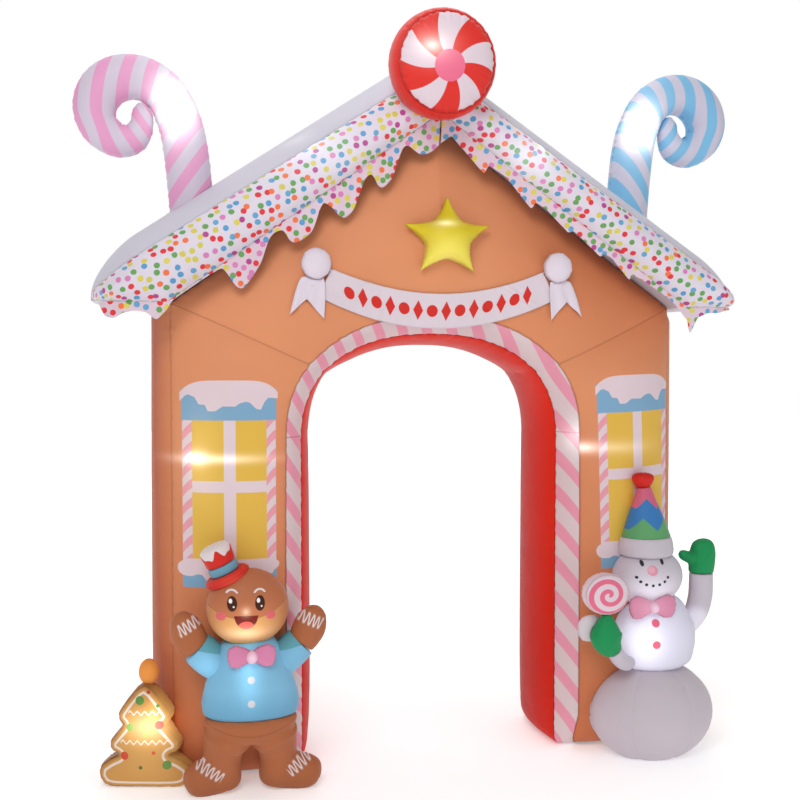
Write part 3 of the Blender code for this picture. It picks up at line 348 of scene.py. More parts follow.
def skin(name, grid, wrap=False, closed=False, ends=(), seam=None, cloth_map=None, fields=None,
         facing=None, panel=None):
    """A mesh over rows x columns of points. wrap joins the last column to the first, and ends are
    the two points that close a tube. closed does both, with ends in the middle of the end rows.
    cloth_map has one column more than a wrapped grid. facing is the way an open sheet looks. panel
    gives each face a material number."""
    grid = np.asarray(grid, float)
    if closed:
        wrap, ends = True, (grid[0].mean(0), grid[-1].mean(0))
    rows, columns = grid.shape[:2]
    last = columns if wrap else columns - 1
    row, column = np.meshgrid(np.arange(rows - 1), np.arange(last), indexing="ij")
    after = (column + 1) % columns
    quads = np.stack((row * columns + column, row * columns + after,
                      (row + 1) * columns + after, (row + 1) * columns + column), -1)
    corners = np.stack((row * (last + 1) + column, row * (last + 1) + column + 1,
                        (row + 1) * (last + 1) + column + 1, (row + 1) * (last + 1) + column), -1)
    quads, corners = quads.reshape(-1, 4), corners.reshape(-1, 4)
    looped = np.concatenate((grid, grid[:, :1]), axis=1) if wrap else grid
    if cloth_map is None:
        cloth_map = np.stack((steps_of(looped, 1), steps_of(looped, 0)), -1)
    cloth_map = np.asarray(cloth_map, float).reshape(-1, 2)
    seam = np.full((rows, columns), 1.0) if seam is None else np.broadcast_to(seam, (rows, columns))
    values = {"seam": seam, **(fields or {})}
    values = {key: list(np.broadcast_to(value, (rows, columns)).reshape(-1))
              for key, value in values.items()}
    points = grid.reshape(-1, 3) + HOME

    normal = np.cross(points[quads[:, 2]] - points[quads[:, 0]],
                      points[quads[:, 3]] - points[quads[:, 1]])
    middle = points[quads].mean(1)
    toward = normal * (np.asarray(facing, float) if facing is not None
                       else middle - points.mean(0))
    turned = toward.sum() < 0
    if turned:
        quads, corners = quads[:, ::-1], corners[:, ::-1]
    faces, maps = quads.tolist(), [cloth_map[corners].reshape(-1, 2)]
    points = points.tolist()
    for end, edge in zip(ends, (0, rows - 1)):
        pole = len(points)
        points.append((np.asarray(end) + HOME).tolist())
        ring = np.arange(last)
        first, second = edge * columns + ring, edge * columns + (ring + 1) % columns
        pair = (first, second) if (edge == 0) == turned else (second, first)
        faces += np.stack((np.full(last, pole), *pair), -1).tolist()
        maps.append(np.repeat(cloth_map[edge * (last + 1) + ring], 3, axis=0))
        for key in values:
            values[key].append(values[key][edge * columns])

    mesh = bpy.data.meshes.new(name)
    mesh.from_pydata(points, [], faces)
    layer = mesh.uv_layers.new(name="cloth")
    layer.data.foreach_set("uv", np.concatenate(maps).reshape(-1).astype(np.float32))
    for key, value in values.items():
        attribute = mesh.attributes.new(key, "FLOAT", "POINT")
        attribute.data.foreach_set("value", np.asarray(value, np.float32))
    if panel is not None:
        numbers = np.zeros(len(faces), np.int32)
        numbers[:len(quads)] = np.asarray(panel).reshape(-1)
        mesh.polygons.foreach_set("material_index", numbers)
    mesh.shade_smooth()
    piece = bpy.data.objects.new(name, mesh)
    bpy.context.scene.collection.objects.link(piece)
    return piece


def dress(piece, materials, slot, *nodes, fill=1.0):
    """Give a piece its finish, put it under the root body and hide the CAD nodes it stands for. slot
    is not used, and nor is fill, which a sheet leaves out."""
    for material in materials if isinstance(materials, (list, tuple)) else [materials]:
        piece.data.materials.append(material)
    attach(piece, "root")
    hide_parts(*nodes)
    print(piece.name, len(piece.data.polygons), "faces for", ", ".join(nodes))
    return piece


# %% Waves along seams
def ripple(along, wave, seed):
    """0 to 1, unevenly: three sines whose lengths don't divide."""
    turn = 2 * pi * np.asarray(along) / wave
    return 0.5 + 0.25 * np.sin(turn + seed) + 0.15 * np.sin(turn * 1.63 + 2.1 * seed + 1.0) \
        + 0.10 * np.sin(turn * 0.57 + 3.7 * seed)


def normals_of(grid):
    """Outward unit normals of a wrapped grid, from the differences along its rows and columns."""
    wide = np.concatenate((grid[:, -1:], grid, grid[:, :1]), axis=1)
    normal = np.cross((wide[:, 2:] - wide[:, :-2]) / 2, np.gradient(grid, axis=0))
    size = np.linalg.norm(normal, axis=2, keepdims=True)
    normal = normal / np.maximum(size, 1e-9)
    away = grid - grid.mean(1, keepdims=True)
    return normal if (normal * away * size).sum() > 0 else -normal


def gather(grid, edge, along, depth, reach, wave, seed=0.0):
    """Pull the cloth in by depth·ripple·e^(-edge/reach), edge being the distance to the seam."""
    pull = depth * ripple(along, wave, seed) * np.exp(-edge / reach)
    return grid - normals_of(grid) * pull[..., None]


def through(value, keys, heights):
    """A smooth line through points: cubic pieces whose slopes are the points' own differences."""
    keys, heights = np.asarray(keys, float), np.asarray(heights, float)
    slopes = np.gradient(heights, keys, axis=0)
    at = np.clip(np.searchsorted(keys, value, side="right") - 1, 0, len(keys) - 2)
    span = keys[at + 1] - keys[at]
    t = (value - keys[at]) / span
    if heights.ndim > 1:
        t, span = t[:, None], span[:, None]
    return ((1 + 2 * t) * (1 - t) ** 2 * heights[at] + t * (1 - t) ** 2 * span * slopes[at]
            + t * t * (3 - 2 * t) * heights[at + 1] + t * t * (t - 1) * span * slopes[at + 1])


BULGE_POWER = 0.85   # 1 is a parabola, less is fuller


def panelled(corners, swells, counts):
    """Panels between each ring's corners, which bulge by swell·(4·s·(1-s))^power over a share s.
    Gives the flat points of the rings and their distance from the nearest seam."""
    corners = [np.column_stack(pair) for pair in corners]
    panels, edges = [], []
    for number, count in enumerate(counts):
        start, end = corners[number], corners[(number + 1) % len(corners)]
        share = (1.0 - np.cos(pi * np.arange(count) / count)) / 2
        way = end - start
        length = np.maximum(np.linalg.norm(way, axis=1), 1e-6)[:, None]
        normal = np.column_stack((way[:, 1], -way[:, 0])) / length
        bulge = swells[number][:, None] * (4.0 * share * (1.0 - share)) ** BULGE_POWER
        panels.append(start[:, None] + share[:, None] * way[:, None]
                      + bulge[..., None] * normal[:, None])
        edges.append(np.minimum(share, 1.0 - share) * length)
    return np.concatenate(panels, axis=1), np.concatenate(edges, axis=1)


# %% [markdown]
# ## The house
# One tall shell: two legs and a gable, sewn from front, side and back panels, with a red panel
# lining the doorway and a striped one round its edge. A ring of the wall is five panels in a row,
# each bulging between two seams, and the rings climb the leg and then lean over along the gable.

# %% House sizes, as in the CAD
DOOR_HALF, DOOR_SPRING, DOOR_TOP, DOOR_POWER = 0.487, 1.200, 1.588, 2.3
WALL_HALF, EAVE_Z, APEX_Z, CREASE_Z, WALL_DEPTH = 0.945, 1.694, 2.366, 1.447, 0.380
BAND_WIDTH, BAND_LEAD = 0.066, 0.086
LEG_KEYS = np.array((   # height, drawn-in foot, fullness
    (0.000, 0.044, 0.00), (0.004, 0.032, 0.10), (0.020, 0.012, 0.36), (0.055, 0.000, 0.66),
    (0.120, 0.000, 0.84), (0.240, 0.000, 0.96), (0.420, 0.000, 1.00), (0.640, 0.000, 1.00),
    (0.860, 0.000, 1.00), (1.060, 0.000, 1.00), (1.220, 0.000, 0.95), (1.320, 0.000, 0.84),
    (1.398, 0.000, 0.60), (CREASE_Z, 0.000, 0.42)))
GABLE_KEYS = np.array((   # share of the way to the apex, fullness
    (0.00, 0.42), (0.07, 0.60), (0.18, 0.80), (0.33, 0.84), (0.50, 0.80), (0.67, 0.76),
    (0.84, 0.74), (1.00, 0.74)))
SWELL_SHARE, SIDE_SWELL, LINING_SWELL, BAND_SWELL = 0.160, 0.072, 0.050, 0.010
PANEL_COLUMNS = {"band": 8, "front": 34, "side": 20, "back": 22, "lining": 18}
ROW_STEP, SIDE_CLOSES = 0.0085, 1.390


def row_places(keys, step):
    """Places from the first key to the last, at most a step apart, every key among them."""
    parts = [np.linspace(low, high, max(2, int(np.ceil((high - low) / step))), endpoint=False)
             for low, high in zip(keys, keys[1:])]
    return np.concatenate(parts + [[keys[-1]]])


def door_half_at(height):
    """Half the doorway's width: half·(1 - rise^power)^(1/power) above the spring of its arch."""
    rise = np.clip((height - DOOR_SPRING) / (DOOR_TOP - DOOR_SPRING), 0.0, 1.0)
    return DOOR_HALF * (1.0 - rise ** DOOR_POWER) ** (1.0 / DOOR_POWER)


def door_height_at(half):
    """The doorway's height that far from its middle."""
    share = np.clip(half / DOOR_HALF, 0.0, 1.0)
    return DOOR_SPRING + (DOOR_TOP - DOOR_SPRING) * (1.0 - share ** DOOR_POWER) ** (1 / DOOR_POWER)


def wall_rings():
    """Rings of the right half from foot to apex, panel seams in the columns, each point's distance
    from the nearest seam, and the row of the crease between leg and gable."""
    heights = row_places(LEG_KEYS[:, 0], ROW_STEP)
    leg = through(heights, LEG_KEYS[:, 0], LEG_KEYS[:, 1:])
    inset, fullness = np.maximum(leg[:, 0], 0.0), leg[:, 1]
    lift = (EAVE_Z - CREASE_Z) * (heights / CREASE_Z) ** 2
    inner = np.column_stack((door_half_at(heights), heights))
    outer = np.column_stack((np.full(len(heights), WALL_HALF), heights + lift))
    close = np.clip((heights - SIDE_CLOSES) / (CREASE_Z - SIDE_CLOSES), 0.0, 1.0)
    side = SIDE_SWELL * np.maximum(fullness, np.minimum(heights, 1.0)) * (1.0 - close ** 1.7)
    lead = BAND_LEAD * np.minimum(1.0, 0.10 + 6.0 * heights)

    shares = row_places(GABLE_KEYS[:, 0], ROW_STEP * 1.1)[1:]
    half = door_half_at(CREASE_Z) * (1.0 - shares)
    inner = np.concatenate((inner, np.column_stack((half, door_height_at(half)))))
    rise = EAVE_Z + (APEX_Z - EAVE_Z) * shares
    outer = np.concatenate((outer, np.column_stack((WALL_HALF * (1.0 - shares), rise))))
    fullness = np.concatenate((fullness, through(shares, GABLE_KEYS[:, 0], GABLE_KEYS[:, 1])))
    inset = np.concatenate((inset, np.zeros(len(shares))))
    side = np.concatenate((side, np.zeros(len(shares))))
    lead = np.concatenate((lead, np.full(len(shares), BAND_LEAD)))

    run = outer - inner
    width = np.linalg.norm(run, axis=1)
    across = run / width[:, None]
    swell = SWELL_SHARE * (width - BAND_WIDTH) * fullness
    near, far, back = inset, width - inset, WALL_DEPTH - inset
    corners = ((near, inset), (near + BAND_WIDTH, inset - lead), (far, inset), (far, back),
               (near, back))
    swells = (BAND_SWELL * fullness, swell, side, swell, LINING_SWELL * fullness)
    flat, edge = panelled(corners, swells, PANEL_COLUMNS.values())
    grid = np.stack((inner[:, :1] + across[:, :1] * flat[..., 0], flat[..., 1],
                     inner[:, 1:] + across[:, 1:] * flat[..., 0]), -1)
    return grid, edge, len(heights) - 1


# %% Gather the wall along its seams and mirror it
wall, wall_edge, crease_row = wall_rings()
along_rows = steps_of(wall, 0)
from_crease = np.abs(along_rows - along_rows[crease_row])
tight = 1.0 + 0.8 * np.exp(-from_crease / 0.08)
wall = gather(wall, wall_edge, along_rows, 0.0042 * tight, 0.022, 0.047)
wall = gather(wall, from_crease, steps_of(wall, 1), 0.0040, 0.020, 0.040, seed=2.0)
wall[-1, :, 0] = 0.0
wall[0, :, 2] = 0.0
wall[:, :, 2] = np.maximum(wall[:, :, 2], 0.0)


def both_halves(half):
    """The right half and its mirror as one run of rows, from one foot over to the other."""
    left = half[::-1] * (-1.0, 1.0, 1.0)
    return np.concatenate((half, left[1:]))


def doubled(values):
    """The same for numbers at the points."""
    return np.concatenate((values, values[::-1][1:]))


FOOT_SEAM = 0.016   # height of the seam round the foot
foot_edge = np.abs(along_rows - FOOT_SEAM) + 0.001
seams = np.minimum(wall_edge, np.minimum(from_crease, foot_edge))
house_grid = both_halves(wall)
house = skin("house", house_grid, closed=True, seam=doubled(seams))
print("wall rings", house_grid.shape)

# %% [markdown]
# The windows are printed on the leg's front panel, so they are masks on the place of a point: a
# frame of striped posts, four panes, a blue lintel and sill, and snow with an uneven lower edge
# that follows a line through a few points. The lamps inside make soft bright spots and streaks.

# %% House finish
# The second colour is the biscuit cloth in painted shade.
BISCUIT, BISCUIT_IN_SHADE = (224, 147, 104), (182, 84, 38)
PANE, SNOW = (228, 184, 78), (226, 206, 212)
ICE_BLUE, ROSE = (128, 170, 200), (232, 158, 170)
LINTEL_EDGE = (   # how far right of the window's middle, and height above the lintel's foot
    (-0.167, 0.067), (-0.149, 0.086), (-0.138, 0.090), (-0.117, 0.080), (-0.104, 0.056),
    (-0.083, 0.054), (-0.073, 0.032), (-0.049, 0.032), (-0.023, 0.049), (0.019, 0.048),
    (0.035, 0.059), (0.055, 0.065), (0.069, 0.062), (0.092, 0.040), (0.108, 0.037),
    (0.121, 0.064), (0.134, 0.078), (0.167, 0.076))
SILL_EDGE = (   # the sill snow's lower edge, measured down from the panes
    (-0.170, -0.052), (-0.150, -0.062), (-0.130, -0.062), (-0.112, -0.054), (-0.096, -0.056),
    (-0.075, -0.083), (-0.055, -0.088), (-0.030, -0.066), (0.010, -0.072), (0.040, -0.060),
    (0.080, -0.050), (0.120, -0.056), (0.146, -0.054), (0.154, -0.040), (0.170, -0.040))
WINDOW_TOP, PANE_HALF_HEIGHT = 1.284, 0.242


def box_mask(u, w, half_wide, half_tall, soft=0.0009):
    """1 inside a box about the axes' zero."""
    return (half_wide - abs(u)).low(half_tall - abs(w)).inside(soft)


def print_window(finish, x, lift, tilt):
    """The window print, centred at x, raised by lift and turned by tilt degrees."""
    front = (0.0 - finish.y).inside(0.004)
    u, w = finish.turned(x, WINDOW_TOP + lift, tilt)
    panes = box_mask(u, w + PANE_HALF_HEIGHT, 0.127, PANE_HALF_HEIGHT)
    bars = (0.0205 - abs(u)).high(0.0200 - abs(w + 0.231)).inside()
    posts = box_mask(u, w + PANE_HALF_HEIGHT, 0.1600, PANE_HALF_HEIGHT + 0.010)
    lean = abs(abs(u) - 0.1435) ** 2 * 14.0
    stripes = (((w - (u - lean) * 1.05) / 0.0655).part() - 0.5).rise(-0.012, 0.012)
    finish.print_or_painted_light(SNOW, posts * front)
    finish.print_or_painted_light(ROSE, posts * stripes * front)
    finish.print_or_painted_light(PANE, panes * front)
    finish.print_or_painted_light(SNOW, panes * bars * front)
    lintel = box_mask(u, w - 0.055, 0.1625, 0.055, 0.0012)
    finish.print_or_painted_light(ICE_BLUE, lintel * front)
    cap = (abs(u) / 0.168) ** 5.0 * 0.042
    snow = (w - finish.curve(u, LINTEL_EDGE)).low(0.1385 - cap - w).low(0.1675 - abs(u)).inside()
    finish.print_or_painted_light(SNOW, snow * front)
    below = w + 2 * PANE_HALF_HEIGHT
    sill = box_mask(u, below + 0.055, 0.1610, 0.046, 0.0012)
    finish.print_or_painted_light(ICE_BLUE, sill * front)
    blanket = (below - finish.curve(u, SILL_EDGE)).low(0.0 - below).low(0.1600 - abs(u))
    for at, fall, size in ((-0.151, -0.034, 0.027), (0.157, -0.022, 0.014)):
        lump = size - ((u - at) ** 2.0 + (below - fall) ** 2.0) ** 0.5
        blanket = blanket.high(lump)
    finish.print_or_painted_light(SNOW, blanket.inside() * front)


biscuit = Finish("biscuit_cloth", BISCUIT, 0.50)
# Painted shade: the wall printed darker down the legs towards the floor, on its side and back
# panels, and over the right half of the gable.
wall_painted_shade = biscuit.z.rise(1.3, 0.0) * 0.60 + biscuit.y.rise(-0.02, 0.10) * 0.95
wall_painted_shade = wall_painted_shade.high(biscuit.x.rise(0.15, 0.85) * biscuit.z.rise(1.4, 1.9) * 0.90)
biscuit.print_or_painted_light(BISCUIT_IN_SHADE, wall_painted_shade.low(1.0))
print_window(biscuit, -0.748, 0.0, 0.0)
print_window(biscuit, 0.772, 0.0145, 1.9)
# Painted shade along the wall's last centimetre, where it turns under at the floor.
biscuit.print_or_painted_light((120, 52, 22), biscuit.z.rise(0.012, 0.008))
WHITE_LIGHT, WARM_LIGHT = (1.0, 0.97, 0.90), (1.0, 0.74, 0.36)
biscuit.lamp((-0.858, -0.069, 1.153), 0.020, WHITE_LIGHT, (1.5, 2.0, 1.0), 1.6, 1.3)
biscuit.lamp((-0.800, -0.090, 1.150), 0.020, WHITE_LIGHT, (7.5, 6.0, 0.75), 1.8, 0.62)
biscuit.lamp((-0.852, -0.075, 1.150), 0.060, WARM_LIGHT, (1.0, 1.0, 2.2), 1.5, 0.22)
biscuit.lamp((0.560, -0.090, 1.165), 0.018, WHITE_LIGHT, (2.4, 3.0, 0.9), 1.6, 0.9)
biscuit.lamp((0.660, -0.110, 1.165), 0.024, WHITE_LIGHT, (6.0, 4.0, 0.9), 1.6, 0.26)
dress(house, biscuit.done(), "biscuit", "house_body")


# %% [markdown]
# ## Doorway panels
# The lining and the band are sheets sewn over the wall, so they take the wall's own columns,
# moved out along its normals by the gap the CAD leaves, and get their thickness from Solidify.

# %% Lining and band
SKIN_GAP, CLOTH = 0.0006, 0.0012
HEM_IN = 0.3   # how much of its first column a wall sheet stops short of the seam


def thicken(piece, offset=0.0):
    """Give a sheet the cloth's thickness, about its middle or, with offset 1, outward."""
    thick = piece.modifiers.new("cloth", "SOLIDIFY")
    thick.thickness, thick.offset = CLOTH, offset


def wall_panel(name, first, last):
    """Columns first to last of the wall, off its surface, with the seam distance kept."""
    columns = [column % wall.shape[1] for column in range(first, last + 1)]
    normals = normals_of(wall)
    half = (wall + normals * SKIN_GAP)[1:, columns]
    half[-1, :, 0] = 0.0
    half[:, 0] += (half[:, 1] - half[:, 0]) * HEM_IN
    half[:, -1] += (half[:, -2] - half[:, -1]) * HEM_IN
    grid, outward = both_halves(half), both_halves(normals[1:, columns])
    piece = skin(name, grid, seam=doubled(wall_edge[1:, columns] + 0.0010), facing=(0, 0, 0))
    row, column = grid.shape[0] // 2, grid.shape[1] // 2
    middle = grid[row, column]
    face = np.cross(grid[row, column + 1] - middle, grid[row + 1, column] - middle)
    if face @ outward[row, column] < 0:
        piece.data.flip_normals()
    thicken(piece, 1.0)
    return piece, grid


def sheet_size(piece, grid, by_top=False):
    """The cut's width and length, and its area, from the grid's own lengths. by_top takes the
    length along the first column, where the other edge is cut in waves."""
    wide, long = steps_of(grid, 1)[:, -1].max(), steps_of(grid, 0)[-1]
    long = long[0] if by_top else long.max()
    area = sum(face.area for face in piece.data.polygons)
    print(piece.name, "flat", round(wide, 3), "x", round(long, 3), "m, area", round(area, 4))
    return (float(wide), float(long)), float(area)


ring_length = sum(PANEL_COLUMNS.values())
lining, lining_grid = wall_panel("lining", ring_length - PANEL_COLUMNS["lining"], ring_length)
red_cloth = Finish("red_cloth", (226, 46, 26), 0.46, 0.0)
red_cloth.shader.inputs["Specular IOR Level"].default_value = 0.10
# Painted shade: the lining printed darker deeper into the doorway and lower down.
lining_painted_shade = red_cloth.y.rise(0.02, 0.26) * 0.75 + red_cloth.z.rise(1.3, 0.2) * 0.35
red_cloth.print_or_painted_light((182, 8, 0), lining_painted_shade.low(1.0))
dress(lining, red_cloth.done(), "red", "door_lining", fill=None)
flat, area = sheet_size(lining, lining_grid)

band, band_grid = wall_panel("band", 0, PANEL_COLUMNS["band"])
band_cloth = Finish("band_stripes", (222, 204, 206), 0.48)
slant = (band_cloth.z + band_cloth.x * 1.45) / 0.136
band_cloth.print_or_painted_light((233, 156, 176), (0.215 - abs(slant.part() - 0.5)).inside(0.008))
band_cloth.lamp((0.545, -0.070, 1.205), 0.040, (0.95, 1.0, 1.0), (1.0, 1.6, 1.3), 1.6, 0.55)
joint = (0.0022 - abs(band_cloth.z - 1.220)).inside(0.0012)
band_cloth.print_or_painted_light((205, 110, 140), joint * 0.8)
dress(band, band_cloth.done(), "band_pink", "door_band", fill=None)
flat, area = sheet_size(band, band_grid)


# %% [markdown]
# ## Helpers for pieces that touch
# Filled cloth presses flat where it meets something. Shrinkwrap in its Outside mode does just
# that: points that would be inside the neighbour go to its surface, less a small gap. A sheet is
# laid against a wall by projecting it along Y. Both are applied at once and leave plain meshes.

# %% Press, lay and apply
PRESS_LIMIT = 0.07


def applied(piece):
    """Bake the piece's modifiers into its mesh."""
    bpy.context.view_layer.update()
    graph = bpy.context.evaluated_depsgraph_get()
    finished = bpy.data.meshes.new_from_object(piece.evaluated_get(graph),
                                               preserve_all_data_layers=True, depsgraph=graph)
    piece.modifiers.clear()
    old, piece.data = piece.data, finished
    bpy.data.meshes.remove(old)
    return piece


def press(piece, *others, gap=0.0008):
    """Flatten the piece where it would go into the others. A point that would move further than
    such a press can is left alone: its nearest surface was a sharp edge, which misleads."""
    start = points_of(piece)
    for other in others:
        wrap = piece.modifiers.new("press", "SHRINKWRAP")
        wrap.target, wrap.offset = other, gap
        wrap.wrap_method, wrap.wrap_mode = "NEAREST_SURFACEPOINT", "OUTSIDE"
    points = points_of(applied(piece))
    far = np.linalg.norm(points - start, axis=1) > PRESS_LIMIT
    points[far] = start[far]
    move_points(piece, points)
    return piece


def points_of(piece):
    points = np.zeros(len(piece.data.vertices) * 3, np.float32)
    piece.data.vertices.foreach_get("co", points)
    return points.reshape(-1, 3).astype(float)


def move_points(piece, points):
    piece.data.vertices.foreach_set("co", np.asarray(points, np.float32).reshape(-1))
    piece.data.update()


def laid(grid, target, gap):
    """The grid with each point's y on the target's front, less the gap."""
    start = np.array(grid, float)
    start[..., 1] = -0.9
    sheet = skin("laid", start, facing=(0, -1, 0))
    cast = sheet.modifiers.new("lay", "SHRINKWRAP")
    cast.target, cast.wrap_method, cast.offset = target, "PROJECT", 0.0
    cast.use_project_y, cast.use_positive_direction = True, True
    cast.use_negative_direction = False
    found = points_of(applied(sheet)).reshape(start.shape) - HOME
    bpy.data.objects.remove(sheet)
    found[..., 1] -= gap
    return found


def on_floor(piece):
    """Nothing goes below the floor: what would is flat on it."""
    points = points_of(piece)
    points[:, 2] = np.maximum(points[:, 2], 0.0)
    move_points(piece, points)
    return piece


# %% [markdown]
# ## The roof
# Two filled slabs lean on the gable. Each is a run of upright sections with four panels: flat
# underneath, swollen at the back and front, crowned on top, and drawn in round at the eave. The
# front panel is printed with round sprinkles, which a Voronoi texture places: one dot in a cell.

# %% Roof slabs
ROOF_HALF, ROOF_FRONT, ROOF_BACK, ROOF_TOP_Z, ROOF_TOP_FALL = 1.220, -0.130, 0.460, 2.541, 0.660
ROOF_CROWN, ROOF_PUFF, SOFFIT_Z, EAVE_ROUNDING, GAP = 0.105, 0.058, 1.688, 0.160, 0.0004
ROOF_COLUMNS = {"under": 10, "back": 22, "top": 40, "front": 28}


def underside_at(x):
    """Height of the slab's flat underside: along the gable, and level beyond the eave."""
    return np.maximum(APEX_Z - (APEX_Z - EAVE_Z) / WALL_HALF * x, SOFFIT_Z) + GAP


def eave_share(x):
    """What is left of the section in the rounded eave: (1 - share²)^0.5."""
    into_end = np.maximum(0.0, x - (ROOF_HALF - EAVE_ROUNDING)) / EAVE_ROUNDING
    return np.sqrt(np.maximum(1.0 - into_end ** 2, 0.0004))


def slab_front_at(x):
    centre = (ROOF_BACK + ROOF_FRONT) / 2
    return centre - (centre - ROOF_FRONT) * eave_share(x) ** 0.8


def slab_low_at(x):
    low, high = underside_at(x), ROOF_TOP_Z - ROOF_TOP_FALL * x
    return low + (high - low) / 2 * (1.0 - eave_share(x) ** 0.5)


def slab_rings(front_fall):
    """Sections from the apex out to the eave's tip, and each point's distance from a seam."""
    tip = ROOF_HALF - EAVE_ROUNDING
    x = np.concatenate((np.linspace(0.0002, tip, 120), tip + EAVE_ROUNDING * np.sin(
        np.linspace(0.0, pi / 2, 42)[1:])))
    left = eave_share(x)
    high = ROOF_TOP_Z - ROOF_TOP_FALL * x
    high = high - (high - underside_at(x)) / 2 * (1.0 - left ** 0.7)
    front, low = slab_front_at(x), slab_low_at(x)
    back = ROOF_BACK + ROOF_FRONT - front
    corners = ((front, low), (back, low), (back, high), (front, high - front_fall * left))
    swells = [swell * left for swell in (0.0, ROOF_PUFF, ROOF_CROWN, ROOF_PUFF)]
    flat, edge = panelled(corners, swells, ROOF_COLUMNS.values())
    grid = np.stack((np.broadcast_to(x[:, None], flat.shape[:2]), flat[..., 0], flat[..., 1]), -1)
    return grid, edge


def sprinkle(finish, u, v, spacing=0.0330, radius=0.0101):
    """Round dots of eleven near colours, one in each cell of a jittered net."""
    cell = finish.joined(u * 0.93 - v * 0.37 + 3.0, u * 0.37 + v * 0.93 + 5.0, 0.0)
    net = [("Vector", cell), ("Scale", 1.0 / spacing), ("Randomness", 0.64)]
    settings = {"voronoi_dimensions": "2D", "feature": "F1"}
    away = finish.node("ShaderNodeTexVoronoi", settings, net, "Distance")
    chance = finish.node("ShaderNodeTexVoronoi", settings, net, "Color")
    chance = finish.node("ShaderNodeSeparateColor", {}, [(0, chance)])
    colours = ((226, 60, 66), (104, 166, 206), (222, 208, 92), (106, 164, 92), (218, 132, 186),
               (228, 62, 66), (92, 158, 206), (214, 202, 90), (108, 166, 94), (184, 74, 146),
               (244, 122, 74))
    stops = [(number / len(colours), tint(*colour)) for number, colour in enumerate(colours)]
    colour = finish.ramp(chance, stops, "CONSTANT")
    finish.print_or_painted_light(colour, (radius / spacing - away).inside(0.022))


def roof_slab(front_fall):
    """A slab's skin, its distance from a seam, its cloth map and the cloth of each face."""
    slab, edge = slab_rings(front_fall)
    along = steps_of(slab, 0)
    slab = gather(slab, edge, along, 0.0040, 0.020, 0.052, seed=1.0)
    slab[..., 2] = np.maximum(slab[..., 2], underside_at(slab[..., 0]))
    front_start = sum(ROOF_COLUMNS.values()) - ROOF_COLUMNS["front"]
    panel = np.zeros((slab.shape[0] - 1, slab.shape[1]), int)
    panel[:, front_start:] = 1
    around = steps_of(np.concatenate((slab, slab[:, :1]), axis=1), 1)
    around[:, front_start:] = around[:, -1:] - around[:, front_start:]
    cloth_map = np.stack((around, np.concatenate((along, along[:, :1]), axis=1)), -1)
    plan = np.hypot(np.diff(slab[:, 0, 0]), np.diff(slab[:, 0, 1]))
    cloth_map[:, front_start:, 0] += slab[:, :1, 2]
    cloth_map[:, front_start:, 1] = np.concatenate(([0.0], np.cumsum(plan)))[:, None]
    return slab, edge, cloth_map, panel


# The slab's top, back and underside are the front's white cloth; this darker colour is that cloth in
# painted shade.
icing = Finish("icing_cloth", (204, 201, 213), 0.50)
icing.lamp((-0.520, -0.050, 2.275), 0.055, WHITE_LIGHT, (1.2, 1.0, 0.6), 1.7, 0.16)
icing.done()
sprinkled = Finish("sprinkled_cloth", (224, 216, 228), 0.50)
slab_up, slab_out = sprinkled.sewn()
sprinkle(sprinkled, slab_out, slab_up)
COOL_LIGHT = (0.86, 0.95, 1.0)
sprinkled.lamp((-0.480, -0.110, 2.235), 0.110, COOL_LIGHT, (1.3, 1.5, 0.8), 1.8, 0.30)
sprinkled.lamp((0.365, -0.130, 2.250), 0.018, COOL_LIGHT, (0.7, 2.0, 3.2), 1.6, 0.60)
sprinkled.lamp((0.330, -0.150, 2.230), 0.090, COOL_LIGHT, (1.2, 1.5, 0.9), 1.8, 0.34)
sprinkled.done(seams=0.4)
roof = {}
for word, side, front_fall, moved in (("left", -1.0, 0.0, 0.0), ("right", 1.0, 0.024, 2.31)):
    slab, edge, cloth_map, panel = roof_slab(front_fall)
    slab = slab * (side, 1.0, 1.0)
    roof[word] = skin("slab_" + word, slab, closed=True, seam=edge,
                      cloth_map=cloth_map + (0.0, moved), panel=panel)
    dress(roof[word], [icing.material, sprinkled.material], "icing", "roof_" + word)

# %% [markdown]
# The loose flaps hang from the slabs' lower seams. Their cut hem is a level edge with round
# tongues, like icing that drips, and the cloth leans back towards the gable.

# %% Flaps
FLAP_END = 1.180
HEMS = {   # distance from the middle, length of the flap below the seam there
    "left": ((0.000, 0.107), (0.020, 0.115), (0.043, 0.113), (0.072, 0.098), (0.117, 0.036),
             (0.137, 0.026), (0.152, 0.058), (0.170, 0.111), (0.203, 0.125), (0.224, 0.108),
             (0.246, 0.047), (0.272, 0.042), (0.289, 0.078), (0.310, 0.130), (0.342, 0.138),
             (0.367, 0.108), (0.392, 0.063), (0.424, 0.024), (0.438, 0.056), (0.456, 0.103),
             (0.484, 0.108), (0.515, 0.104), (0.536, 0.086), (0.560, 0.028), (0.588, 0.016),
             (0.612, 0.023), (0.633, 0.084), (0.668, 0.118), (0.699, 0.135), (0.723, 0.111),
             (0.750, 0.051), (0.770, 0.012), (0.845, 0.006), (0.919, 0.006), (0.942, 0.008),
             (0.962, 0.035), (0.992, 0.065), (1.022, 0.037), (1.061, 0.031), (1.100, 0.038),
             (1.131, 0.057), (1.162, 0.050), (1.180, 0.012)),
    "right": ((0.000, 0.107), (0.040, 0.050), (0.165, 0.092), (0.178, 0.050), (0.245, 0.044),
              (0.345, 0.085), (0.356, 0.050), (0.399, 0.045), (0.485, 0.066), (0.505, 0.045),
              (0.615, 0.062), (0.622, 0.040), (0.655, 0.035), (0.730, 0.064), (0.737, 0.035),
              (0.790, 0.025), (0.890, 0.018), (0.935, 0.030), (0.962, 0.045), (0.978, 0.105),
              (1.005, 0.040), (1.044, 0.022), (1.090, 0.022), (1.125, 0.012), (1.180, 0.006))}


